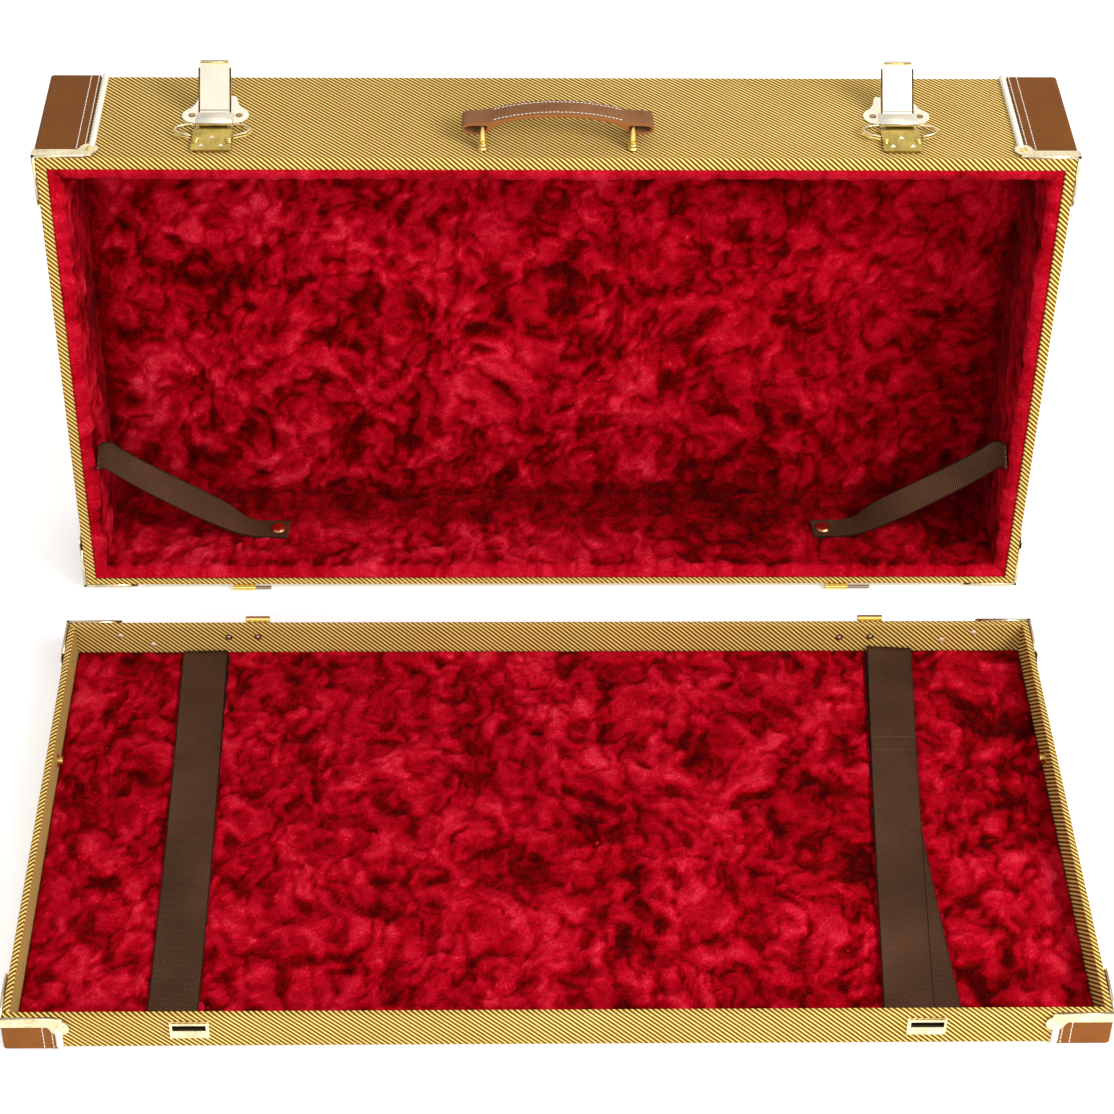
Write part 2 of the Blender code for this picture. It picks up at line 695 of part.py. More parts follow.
def latch_spring(build, side, x):
    """One bent wire: a bar under the bridge and a loop out to each side."""
    half = [(0, 48.5, 3.6), (13.2, 48.5, 3.6), (19, 47.8, 3.8), (27, 46, 4.2), (33, 41, 4.6), (33.6, 35, 4.8)]
    half += [(30, 29.5, 4.8), (24, 27.0, 4.6), (18.6, 25.5, 4.2)]
    right = [Vector((x + a * MM, v * MM, CASE_DEPTH + h * MM)) for a, v, h in half]
    left = [Vector((x - a * MM, v * MM, CASE_DEPTH + h * MM)) for a, v, h in half[:0:-1]]
    path = smooth_path(left + right, 2)
    build.add(f"latch_spring_{side}", wire(path, WIRE_R, 8), COVER_AT, f"spring_{side}", "brass")


def latch_claw(build, side, x):
    """Drawn flat, reaching to the front from its pivot, then let droop until its lip rests near the wall."""
    t = 0.6 * MM
    end = -CLAW_REACH / MM
    outline = [(-12, -1.2), (-12, -6), (-17, -8), (-17, end), (17, end), (17, -8), (12, -6), (12, -1.2)]
    plate = prism([(x + a * MM, b * MM) for a, b in outline], 2, -t, t)
    reach = -CLAW_REACH + 0.1 * MM
    lip = box((x - 12.8 * MM, reach, -2.0 * MM), (x + 12.8 * MM, reach + 1.2 * MM, 0.2 * MM))
    curl = tube((x / MM - 11.9, x / MM + 11.9), (0, 0), 2.1 * MM, 1.1 * MM, 16)
    for bm in (plate, lip, curl):
        bm.transform(Matrix.Rotation(CLAW_DROOP, 4, "X"))
    at = COVER_AT + on_top(0, *CLAW_PIVOT)
    made = build.add(f"latch_claw_{side}", plate, at, f"claw_{side}", "brass")
    for bm in (lip, curl):
        build.fuse(made, bm, at)


def latches(build):
    for side, sign in SIDES.items():
        x = sign * LATCH_X
        latch_base(build, side, x)
        latch_lever(build, side, x)
        latch_spring(build, side, x)
        latch_claw(build, side, x)


# Handle
def handle(build):
    """The strap's outline in (x, height above the wall): an arched upper leaf and a closed loop at each end."""
    upper = [(0, 31.2), (22, 30.2), (42, 27.0), (56, 23.4), (66, 21.7), (76, 21.3), (81.5, 19.6), (83.3, 16.0)]
    lower = [(81.5, 12.4), (76, 10.6), (68, 10.5), (61, 12.6), (56, 16.6), (50, 20.4), (40, 23.4), (22, 26.4), (0, 27.5)]
    half = upper + lower
    outline = half + [(-a, b) for a, b in half[-2:0:-1]]
    outline = [(a * MM, CASE_DEPTH + b * MM) for a, b in outline]
    low, high = HANDLE_FRONT, HANDLE_FRONT + HANDLE_WIDE
    made = build.add("handle_strap", prism(outline, 1, low, high), COVER_AT, "handle", "handle_leather")
    inner = [(61.5, 16.8), (62.5, 18.9), (76, 18.9), (80, 17.6), (81.2, 16.0), (80, 14.2), (76, 12.6), (68, 12.5), (64, 13.6)]
    for sign in (-1, 1):
        loop = [(sign * a * MM, CASE_DEPTH + b * MM) for a, b in inner]
        build.cut(made, prism(loop, 1, low - 5 * MM, high + 5 * MM), COVER_AT)
    for side, sign in SIDES.items():
        staple(build, side, sign * HANDLE_POST_X, low, high)


def staple(build, side, x, low, high):
    """Two bullet-shaped posts joined by a bar through the strap's loop."""
    profile = [(0.2, 0), (0.2, 4.6), (1.2, 4.6), (2.0, 3.0), (4.0, 2.6), (5.4, 3.4), (9.0, 3.4), (13.0, 2.9)]
    profile += [(17.0, 2.1), (20.0, 1.1), (20.8, 0)]
    profile = [(a * MM, r * MM) for a, r in profile]
    front, rear = low - 3.9 * MM, high + 3.9 * MM
    made = build.add(
        f"handle_staple_{side}", turned(profile, 2, (x, front, CASE_DEPTH), 12), COVER_AT, "cover", "brass"
    )
    build.fuse(made, turned(profile, 2, (x, rear, CASE_DEPTH), 12), COVER_AT)
    bar = [(front, 0), (front, 1.4 * MM), (rear, 1.4 * MM), (rear, 0)]
    build.fuse(made, turned(bar, 1, (x, 0, CASE_DEPTH + 17.2 * MM), 12), COVER_AT)


def main():
    clear_scene()
    build = Builder(make_materials(), make_bodies())
    tray_shell(build)
    tray_corners(build)
    tray_straps(build)
    snap_studs(build)
    catches(build)
    hinges(build)
    cover_shell(build)
    cover_corners(build)
    cover_glides(build)
    stays(build)
    latches(build)
    handle(build)


main()
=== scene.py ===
import itertools
import json
import math

import bmesh
import bpy
import numpy as np
from mathutils import Matrix, Vector


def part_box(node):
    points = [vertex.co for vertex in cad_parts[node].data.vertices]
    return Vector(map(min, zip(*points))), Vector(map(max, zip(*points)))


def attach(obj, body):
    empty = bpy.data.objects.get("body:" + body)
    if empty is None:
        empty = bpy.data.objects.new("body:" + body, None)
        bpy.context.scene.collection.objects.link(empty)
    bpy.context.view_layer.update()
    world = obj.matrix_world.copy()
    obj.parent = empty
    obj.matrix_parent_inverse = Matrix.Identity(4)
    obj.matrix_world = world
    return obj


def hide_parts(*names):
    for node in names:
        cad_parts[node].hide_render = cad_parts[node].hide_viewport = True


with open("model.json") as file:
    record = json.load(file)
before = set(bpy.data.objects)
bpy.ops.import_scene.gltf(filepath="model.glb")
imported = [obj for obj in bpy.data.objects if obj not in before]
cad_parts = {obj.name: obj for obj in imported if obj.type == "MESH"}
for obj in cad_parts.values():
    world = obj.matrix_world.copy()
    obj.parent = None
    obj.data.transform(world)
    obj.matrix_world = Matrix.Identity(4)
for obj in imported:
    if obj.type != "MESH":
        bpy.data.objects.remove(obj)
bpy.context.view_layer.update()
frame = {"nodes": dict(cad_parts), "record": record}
MM = 0.001
SIDES = {"left": -1, "right": 1}
UP = Vector((0, 0, 1))

# The two halves' own origins and sizes, as in the CAD
TRAY = Vector((-1.65, -354.0, 0)) * MM
COVER = Vector((1.65, 219.1, 6.4)) * MM
DEPTH = 482 * MM  # of the case, from its hinge side to its front
HALF = 450 * MM  # of the case's length
RIM = 38 * MM  # the tray's height
DEEP = 136 * MM  # the cover's height when the case is closed
LATCH_X = 299.5 * MM  # of the latches and catches, from each half's middle


# ---------------------------------------------------------------- camera
CAMERA_AT = (-0.05129, -1.87038, 1.79221)
CAMERA_TILT, CAMERA_YAW, CAMERA_ROLL = 0.69751, 0.02752, 0.01613
LENS = 91.50


def make_camera():
    tilt, yaw, roll = CAMERA_TILT, CAMERA_YAW, CAMERA_ROLL
    forward = Vector((math.sin(yaw) * math.cos(tilt), math.cos(yaw) * math.cos(tilt), -math.sin(tilt)))
    right = Vector((math.cos(yaw), -math.sin(yaw), 0))
    up = right.cross(forward)
    rolled_right = right * math.cos(roll) + up * math.sin(roll)
    rolled_up = up * math.cos(roll) - right * math.sin(roll)
    data = bpy.data.cameras.new("camera")
    data.sensor_width = 36
    data.lens = LENS
    data.clip_end = 20
    camera = bpy.data.objects.new("camera", data)
    bpy.context.scene.collection.objects.link(camera)
    turn = Matrix((rolled_right, rolled_up, -forward)).transposed()
    camera.matrix_world = Matrix.Translation(CAMERA_AT) @ turn.to_4x4()
    bpy.context.scene.camera = camera


make_camera()


# ---------------------------------------------------------------- noise, for shapes
class Noise:
    """Seeded gradient noise in three dimensions, for arrays of points."""

    def __init__(self, seed):
        rng = np.random.RandomState(seed)
        self.table = np.tile(rng.permutation(256), 3)
        grads = rng.normal(size=(256, 3))
        self.grads = grads / np.linalg.norm(grads, axis=1)[:, None]

    def __call__(self, p):
        cell = np.floor(p).astype(int)
        f = p - cell
        cell = cell & 255
        fade = f * f * f * (f * (f * 6 - 15) + 10)
        total = 0
        for corner in itertools.product((0, 1), repeat=3):
            h = 0
            weight = 1
            for axis, step in enumerate(corner):
                h = self.table[h + ((cell[:, axis] + step) & 255)]
                weight = weight * (fade[:, axis] if step else 1 - fade[:, axis])
            total = total + weight * (self.grads[h] * (f - np.array(corner))).sum(axis=1)
        return total * 1.5

    def fbm(self, p, octaves=4, gain=0.5):
        total, size, amp = 0, 1.0, 1.0
        for _ in range(octaves):
            total = total + amp * self(p * size + 17.3 * size)
            size, amp = size * 2.03, amp * gain
        return total

    def vector(self, p, octaves=2):
        return np.stack([self.fbm(p + shift, octaves) for shift in (0.0, 31.7, 67.1)], axis=1)


NOISE = Noise(7)


def smoothstep(low, high, x):
    t = np.clip((x - low) / (high - low), 0, 1)
    return t * t * (3 - 2 * t)


# ---------------------------------------------------------------- mesh helpers
def link(name, data):
    made = bpy.data.objects.new(name, data)
    bpy.context.scene.collection.objects.link(made)
    return made


def finish_mesh(bm, mesh):
    """Turns every face outwards and writes the mesh."""
    bmesh.ops.recalc_face_normals(bm, faces=bm.faces)
    bm.to_mesh(mesh)
    bm.free()


def bm_object(name, bm, material, smooth=True):
    mesh = bpy.data.meshes.new(name)
    finish_mesh(bm, mesh)
    mesh.materials.append(material)
    if smooth:
        mesh.shade_smooth()
    return link(name, mesh)


def mesh_object(name, verts, faces, material):
    mesh = bpy.data.meshes.new(name)
    mesh.from_pydata([tuple(v) for v in verts], [], [tuple(int(i) for i in f) for f in faces])
    mesh.update()
    mesh.materials.append(material)
    mesh.shade_smooth()
    return link(name, mesh)


def turn_out(mesh):
    bm = bmesh.new()
    bm.from_mesh(mesh)
    finish_mesh(bm, mesh)


def place(obj, body, replaces=()):
    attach(obj, body)
    if replaces:
        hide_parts(*replaces)


def sweep_rings(bm, rings):
    """Skins loops of points into a tube with capped ends."""
    made = [[bm.verts.new(p) for p in ring] for ring in rings]
    for a, b in zip(made, made[1:]):
        for k in range(len(a)):
            j = (k + 1) % len(a)
            bm.faces.new((a[k], a[j], b[j], b[k]))
    bm.faces.new(made[0][::-1])
    bm.faces.new(made[-1])


def along_at(points, i):
    """The direction of a path at its point i."""
    return (points[min(i + 1, len(points) - 1)] - points[max(i - 1, 0)]).normalized()


def turns_round(sides):
    return [2 * math.pi * k / sides for k in range(sides)]


def tube_into(bm, points, radius, sides=8):
    """A tube without twist, narrowed at its two ends."""
    rings, normal = [], UP
    for i, point in enumerate(points):
        along = along_at(points, i)
        normal = normal - along * normal.dot(along)
        if normal.length < 1e-6:
            normal = along.orthogonal()
        normal = normal.normalized()
        side = along.cross(normal)
        r = radius * (0.55 if i in (0, len(points) - 1) else 1)
        rings.append([point + (normal * math.cos(t) + side * math.sin(t)) * r for t in turns_round(sides)])
    sweep_rings(bm, rings)


def spline_span(p0, p1, p2, p3, count):
    """Points of a Catmull-Rom curve from p1 up to p2."""
    bend = 2 * p0 - 5 * p1 + 4 * p2 - p3
    twist = 3 * p1 - p0 - 3 * p2 + p3
    for t in (k / count for k in range(count)):
        yield 0.5 * (2 * p1 + (p2 - p0) * t + bend * t**2 + twist * t**3)


def smooth_path(points, per_span):
    ends = [points[0] * 2 - points[1], *points, points[-1] * 2 - points[-2]]
    path = []
    for i in range(len(points) - 1):
        path += spline_span(*ends[i : i + 4], per_span)
    path.append(points[-1].copy())
    return path


def closed_smooth(points, per_span):
    """A closed curve through 2-D points."""
    loop = [np.array(p, float) for p in [points[-1], *points, *points[:2]]]
    found = []
    for i in range(len(points)):
        found += spline_span(*loop[i : i + 4], per_span)
    return found


def resampled(points, step):
    """Points every step along a polyline, ends included."""
    lengths = [0.0]
    for a, b in zip(points, points[1:]):
        lengths.append(lengths[-1] + (b - a).length)
    count = max(2, round(lengths[-1] / step) + 1)
    found, k = [], 0
    for i in range(count):
        at = lengths[-1] * i / (count - 1)
        while k < len(points) - 2 and lengths[k + 1] < at:
            k += 1
        span = max(lengths[k + 1] - lengths[k], 1e-9)
        found.append(points[k].lerp(points[k + 1], (at - lengths[k]) / span))
    return found


def lathe_into(bm, profile, at, axis, sides=20):
    """A turned shape: profile is (height along axis, radius), both ends on the axis."""
    axis = axis.normalized()
    first = axis.orthogonal().normalized()
    second = axis.cross(first)
    rings = []
    for height, radius in profile:
        centre, r = at + axis * height, max(radius, 1e-5)
        rings.append([centre + (first * math.cos(t) + second * math.sin(t)) * r for t in turns_round(sides)])
    sweep_rings(bm, rings)


# ---------------------------------------------------------------- node helpers
class Nodes:
    """Short names for building one material's nodes."""

    def __init__(self, name):
        self.material = bpy.data.materials.new(name)
        self.material.use_nodes = True
        self.tree = self.material.node_tree
        self.shader = self.tree.nodes["Principled BSDF"]
        self.coords = self.new("ShaderNodeTexCoord").outputs["Object"]

    def new(self, kind, **settings):
        node = self.tree.nodes.new(kind)
        for key, value in settings.items():
            setattr(node, key, value)
        return node

    def feed(self, socket, value):
        if isinstance(value, bpy.types.NodeSocket):
            self.tree.links.new(value, socket)
        else:
            socket.default_value = value

    def math(self, operation, a, b=0.0, c=0.0):
        node = self.new("ShaderNodeMath", operation=operation)
        for socket, value in zip(node.inputs, (a, b, c)):
            self.feed(socket, value)
        return node.outputs[0]

    def sum(self, *weighted):
        """The sum of sockets, each given as (socket, weight), and of plain numbers."""
        total = None
        for item in weighted:
            term = self.math("MULTIPLY", *item) if isinstance(item, tuple) else item
            total = term if total is None else self.math("ADD", total, term)
        return total

    def wave(self, value, length):
        """A sine of this wavelength, from 0 to 1."""
        turns = self.math("MULTIPLY", value, 2 * math.pi / length)
        return self.math("MULTIPLY_ADD", self.math("SINE", turns), 0.5, 0.5)

    def vector(self, operation, a, b=(0, 0, 0)):
        node = self.new("ShaderNodeVectorMath", operation=operation)
        self.feed(node.inputs[0], a)
        if operation == "SCALE":
            self.feed(node.inputs["Scale"], b)
        else:
            self.feed(node.inputs[1], b)
        return node.outputs["Vector"]

    def noise(self, scale, detail=2.0, roughness=0.5, distortion=0.0, at=None, colour=False):
        node = self.new("ShaderNodeTexNoise")
        self.feed(node.inputs["Vector"], at or self.coords)
        settings = dict(Scale=scale, Detail=detail, Roughness=roughness, Distortion=distortion)
        for key, value in settings.items():
            node.inputs[key].default_value = value
        return node.outputs["Color" if colour else "Fac"]

    def pores(self, scale):
        node = self.new("ShaderNodeTexVoronoi", feature="SMOOTH_F1")
        self.feed(node.inputs["Vector"], self.coords)
        node.inputs["Scale"].default_value = scale
        return node.outputs["Distance"]

    def ramp(self, value, stops):
        node = self.new("ShaderNodeValToRGB")
        elements = node.color_ramp.elements
        while len(elements) < len(stops):
            elements.new(0.5)
        for element, (position, colour) in zip(elements, stops):
            element.position = position
            element.color = (*colour, 1)
        self.feed(node.inputs[0], value)
        return node.outputs["Color"]

    def mix(self, factor, a, b, blend="MIX"):
        node = self.new("ShaderNodeMix", data_type="RGBA", blend_type=blend)
        self.feed(node.inputs["Factor"], factor)
        for socket, value in zip([s for s in node.inputs if s.type == "RGBA"], (a, b)):
            self.feed(socket, (*value, 1) if isinstance(value, tuple) else value)
        return next(s for s in node.outputs if s.type == "RGBA")

    def range(self, value, low, high, out_low=0.0, out_high=1.0):
        node = self.new("ShaderNodeMapRange")
        for socket, v in zip(node.inputs, (value, low, high, out_low, out_high)):
            self.feed(socket, v)
        return node.outputs[0]

    def bump(self, height, strength, distance):
        node = self.new("ShaderNodeBump")
        node.inputs["Strength"].default_value = strength
        node.inputs["Distance"].default_value = distance
        self.feed(node.inputs["Height"], height)
        return node.outputs["Normal"]

    def axes(self, at=None):
        node = self.new("ShaderNodeSeparateXYZ")
        self.feed(node.inputs[0], at or self.coords)
        return node.outputs

    def face_normal(self):
        """The flat face's normal in the object's own space, which turns with its body."""
        turn = self.new("ShaderNodeVectorTransform", vector_type="NORMAL")
        turn.convert_from, turn.convert_to = "WORLD", "OBJECT"
        self.feed(turn.inputs[0], self.new("ShaderNodeNewGeometry").outputs["True Normal"])
        return turn.outputs[0]

    def finish(self, **inputs):
        for key, value in inputs.items():
            socket = self.shader.inputs[key.replace("_", " ")]
            if isinstance(value, tuple):
                value = (*value, 1)
            self.feed(socket, value)
        return self.material


# ---------------------------------------------------------------- materials
TWEED_STEP = 4.9 * MM  # from stripe to stripe, along each of the three axes


def tweed_material(name, mirrored=False):
    """Twill whose stripes run on over every edge: their phase is the sum of the three coordinates."""
    n = Nodes(name)
    x, y, z = n.axes()
    if mirrored:
        y = n.math("MULTIPLY", y, -1.0)
    wobble = n.math("MULTIPLY", n.math("SUBTRACT", n.noise(60, 2), 0.5), 1.1 * MM)
    run = n.sum(x, y, z, wobble)
    across = n.math("SUBTRACT", x, n.sum(y, z))
    stripe = n.wave(run, TWEED_STEP)
    beat = n.wave(across, 1.9 * MM)
    yarn = n.wave(n.sum((run, 3.1 * MM / TWEED_STEP), across), 3.1 * MM)
    fuzz = n.noise(900, 3, 0.7)
    tone = n.sum((stripe, 0.80), (beat, 0.05), (yarn, 0.07), (n.math("SUBTRACT", fuzz, 0.5), 0.35))
    colour = n.ramp(
        tone,
        [
            (0.10, (0.100, 0.040, 0.0)),
            (0.30, (0.195, 0.094, 0.001)),
            (0.46, (0.46, 0.275, 0.032)),
            (0.66, (0.75, 0.52, 0.150)),
            (0.88, (0.93, 0.72, 0.335)),
        ],
    )
    age = n.ramp(n.noise(9, 4, 0.6), [(0.3, (0.90, 0.87, 0.82)), (0.7, (1, 1, 1))])
    colour = n.mix(1.0, colour, age, "MULTIPLY")
    height = n.sum(stripe, (fuzz, 0.3), (yarn, 0.2))
    return n.finish(
        Base_Color=colour,
        Roughness=n.range(fuzz, 0.3, 0.7, 0.6, 0.8),
        Normal=n.bump(height, 0.5, 0.5 * MM),
        Specular_IOR_Level=0.01,
    )


def plush_material():
    """Crushed pile. Its point attribute is partly the pile's own mottled tone and partly painted shade: low,
    and dark, in a fold, high and bright where the pile is combed flat.
    """
    n = Nodes("plush_crushed")
    nap_shade = n.new("ShaderNodeAttribute", attribute_name="nap_shade").outputs["Fac"]
    bend = n.vector("SCALE", n.vector("SUBTRACT", n.noise(26, 2, colour=True), (0.5, 0.5, 0.5)), 0.045)
    at = n.vector("ADD", n.coords, bend)
    swirl = n.noise(95, 4, 0.6, 0.2, at=at)
    tuft = n.noise(210, 3, 0.6, 0.3, at=at)
    strands = n.noise(620, 3, 0.65, 1.2, at=n.vector("MULTIPLY", at, (1.0, 0.55, 0.8)))
    fibres = n.noise(1500, 2, 0.7, 1.0, at=n.vector("MULTIPLY", at, (1.0, 0.4, 0.6)))
    # Painted glints: specks where the fine fibre noise is high, pushed to the pink top of the ramp as sparkle
    # on the pile.
    painted_glints = n.math("MAXIMUM", n.math("SUBTRACT", fibres, 0.55), 0.0)
    pile_tone_and_light = n.sum((nap_shade, 0.62), (swirl, 0.30), (tuft, 0.22), (strands, 0.42), (painted_glints, 1.7), -0.11 - 0.5 * 0.42)
    colour = n.ramp(
        pile_tone_and_light,
        [
            (0.14, (0.030, 0.0, 0.0)),
            (0.32, (0.130, 0.0, 0.0)),
            (0.47, (0.300, 0.0, 0.004)),
            (0.62, (0.450, 0.0015, 0.012)),
            (0.80, (0.640, 0.012, 0.034)),
            (1.00, (0.860, 0.090, 0.120)),
        ],
    )
    height = n.sum((swirl, 1.3), (tuft, 0.9), (strands, 0.55))
    return n.finish(
        Base_Color=colour,
        Roughness=0.95,
        Normal=n.bump(height, 0.75, 2.4 * MM),
        Sheen_Weight=0.10,
        Sheen_Roughness=0.4,
        Sheen_Tint=(1.0, 0.06, 0.10),
        Specular_IOR_Level=0.02,
    )


def leather_material(name, dark, light, pore=900, edge=None):
    """Grained leather. Its cut edges, where edge gives their colour, face forwards or backwards."""
    n = Nodes(name)
    pores = n.pores(pore)
    wrinkle = n.noise(160, 5, 0.6, 1.2)
    tone = n.sum((wrinkle, 0.55), (n.noise(22, 3), 0.45))
    colour = n.ramp(tone, [(0.32, dark), (0.68, light)])
    colour = n.mix(n.range(pores, 0.0, 0.35, 0.35, 0.0), colour, tuple(c * 0.5 for c in dark))
    if edge:
        facing = n.math("ABSOLUTE", n.axes(n.face_normal())[1])
        worn = n.sum(facing, (wrinkle, 0.5), -0.25)
        colour = n.mix(n.range(worn, 0.45, 0.8), colour, edge)
    height = n.sum((wrinkle, 0.6), (pores, 0.5))
    return n.finish(
        Base_Color=colour,
        Roughness=n.range(wrinkle, 0.3, 0.7, 0.42, 0.6),
        Normal=n.bump(height, 0.5, 0.35 * MM),
        Specular_IOR_Level=0.10,
    )


def webbing_material():
    """Brown webbing: twill that turns back and forth over ribs, along and across the strap by its UVs."""
    n = Nodes("webbing_woven")
    uv = n.new("ShaderNodeUVMap", uv_map="strap").outputs["UV"]
    u, v, _ = n.axes(uv)
    rib = n.wave(v, 1.35 * MM)
    twill = n.wave(n.sum(v, n.math("PINGPONG", u, 2.6 * MM)), 2.3 * MM)
    fuzz = n.noise(1200, 2, 0.6)
    tone = n.sum((rib, 0.3), (twill, 0.4), (fuzz, 0.3), (n.noise(14, 3), 0.35), -0.5 * 0.35)
    stops = [(0.30, (0.006, 0.002, 0.001)), (0.5, (0.044, 0.018, 0.008)), (0.70, (0.150, 0.070, 0.033))]
    return n.finish(
        Base_Color=n.ramp(tone, stops),
        Roughness=n.range(fuzz, 0.3, 0.7, 0.6, 0.85),
        Normal=n.bump(n.sum(rib, twill), 0.6, 0.35 * MM),
        Specular_IOR_Level=0.10,
    )


def metal_material(name, colour, dull, rough=0.2, grime=0.5):
    """Plated metal, brushed and clouded, going to its dull colour where it is worn."""
    n = Nodes(name)
    streaks = n.noise(500, 3, 0.6, at=n.vector("MULTIPLY", n.coords, (1, 0.12, 1)))
    worn = n.sum((n.noise(45, 5, 0.65), 0.7), (streaks, 0.3))
    return n.finish(
        Base_Color=n.mix(n.range(worn, 0.42, 0.72, 0.0, grime), colour, dull),
        Metallic=1.0,
        Roughness=n.range(worn, 0.3, 0.75, rough, rough + 0.22),
        Normal=n.bump(streaks, 0.06, 0.1 * MM),
    )


def thread_material(name, light, dark):
    n = Nodes(name)
    twist = n.noise(1500, 2, 0.6)
    return n.finish(
        Base_Color=n.ramp(twist, [(0.35, dark), (0.6, light)]),
        Roughness=0.75,
        Normal=n.bump(twist, 0.6, 0.2 * MM),
        Specular_IOR_Level=0.03,
    )


MATERIALS = {
    "tweed": tweed_material("tweed_woven"),
    "tweed_mirrored": tweed_material("tweed_woven_mirrored", mirrored=True),
    "plush": plush_material(),
    "corner_leather": leather_material("corner_leather_grain", (0.145, 0.042, 0.003), (0.198, 0.065, 0.007)),
    "tray_leather": leather_material("tray_leather_grain", (0.205, 0.064, 0.007), (0.262, 0.091, 0.015)),
    "handle_leather": leather_material(
        "handle_leather_grain", (0.165, 0.062, 0.018), (0.275, 0.118, 0.044), 700, edge=(0.27, 0.095, 0.022)
    ),
    "webbing": webbing_material(),
    "brass": metal_material("brass_plate", (0.90, 0.66, 0.20), (0.50, 0.32, 0.06), 0.18),
    "clamp_brass": metal_material("clamp_brass_plate", (0.93, 0.82, 0.55), (0.40, 0.30, 0.11), 0.22, 0.8),
    # The claw's brass is darker than the rest: painted shade, for the claw turned away from the light.
    "claw_shaded_brass": metal_material("claw_shaded_brass_plate", (0.52, 0.38, 0.09), (0.22, 0.16, 0.04), 0.25, 0.9),
    # Dark brass: the real dark rims of rivets and eyelets, and painted shade in the latch's dark lines.
    "dark_brass_and_shade": metal_material("dark_brass_and_painted_shade", (0.16, 0.085, 0.03), (0.06, 0.03, 0.012), 0.35, 0.8),
    "pale_brass": metal_material("pale_brass_plate", (0.97, 0.90, 0.74), (0.80, 0.68, 0.47), 0.26, 0.4),
    "satin_brass": metal_material("satin_brass_plate", (1.0, 0.95, 0.82), (0.90, 0.80, 0.60), 0.5, 0.3),
    "rivet_bronze": metal_material("rivet_bronze", (0.50, 0.31, 0.13), (0.26, 0.15, 0.06), 0.3, 0.8),
    "copper": metal_material("copper_cap", (0.80, 0.30, 0.14), (0.35, 0.10, 0.05), 0.2),
    "steel": metal_material("steel_pin", (0.34, 0.27, 0.20), (0.16, 0.12, 0.08), 0.32),
    "thread": thread_material("white_thread", (0.86, 0.80, 0.72), (0.60, 0.50, 0.42)),
    "welt": thread_material("cream_welt", (0.90, 0.86, 0.76), (0.74, 0.68, 0.56)),
    "webbing_thread": thread_material("brown_thread", (0.20, 0.12, 0.07), (0.09, 0.05, 0.03)),
    # Near-black selvedge thread: painted shade along each strap's edges.
    "selvedge_shade": thread_material("selvedge_painted_shade", (0.030, 0.014, 0.008), (0.012, 0.006, 0.003)),
    # Black hook strip, also used as painted shade inside each catch's slot.
    "black_hook_and_shade": thread_material("black_hook_strip_and_shade", (0.014, 0.009, 0.007), (0.005, 0.003, 0.003)),
}


# Nodes that look different from the rest of their slot, by the start of their names
OWN_LOOKS = {
    "tray_left": "tweed_mirrored",
    "tray_leather": "tray_leather",
    "tray_clamp": "clamp_brass",
    "cover_clamp": "clamp_brass",
    "catch": "clamp_brass",
    "latch_claw": "claw_shaded_brass",
}


def dress_frame():
    slots = {s["node"]: s["material_slot"] for s in frame["record"]["subparts"]}
    for name, obj in frame["nodes"].items():
        look = next((v for k, v in OWN_LOOKS.items() if name.startswith(k)), slots[name])
        obj.data.materials.clear()
        obj.data.materials.append(MATERIALS[look])


dress_frame()


# ---------------------------------------------------------------- plush pads
def nap_shade_field(p):
    """The crushed pile's tone at points p, partly its own mottling and partly painted shade in its folds:
    from 0 (deep fold, dark) to 1 (combed flat, bright).
    """
    warp = NOISE.vector(p / 0.110, 2) * 0.022 + NOISE.vector(p / 0.024 + 9, 2) * 0.008
    q = p + warp
    broad = NOISE.fbm(q / 0.085, 3)
    patch = NOISE.fbm(q / 0.024 + 40, 3, 0.62)
    stretched = q * np.array([1.7, 0.9, 0.9])
    crease = 1 - np.abs(NOISE.fbm(stretched / 0.036 + 90, 2, 0.55)) * 2.0
    # The crease term lowers the value, and so darkens the colour, in the folds: painted shade.
    value = 0.63 + 0.26 * broad + 0.40 * patch - 0.36 * smoothstep(0.35, 1.0, crease)
    return np.clip(value, 0, 1)


PAD_STEP = 3 * MM  # between a pad's points
PAD_EDGE = 5 * MM  # how wide its rounded border is


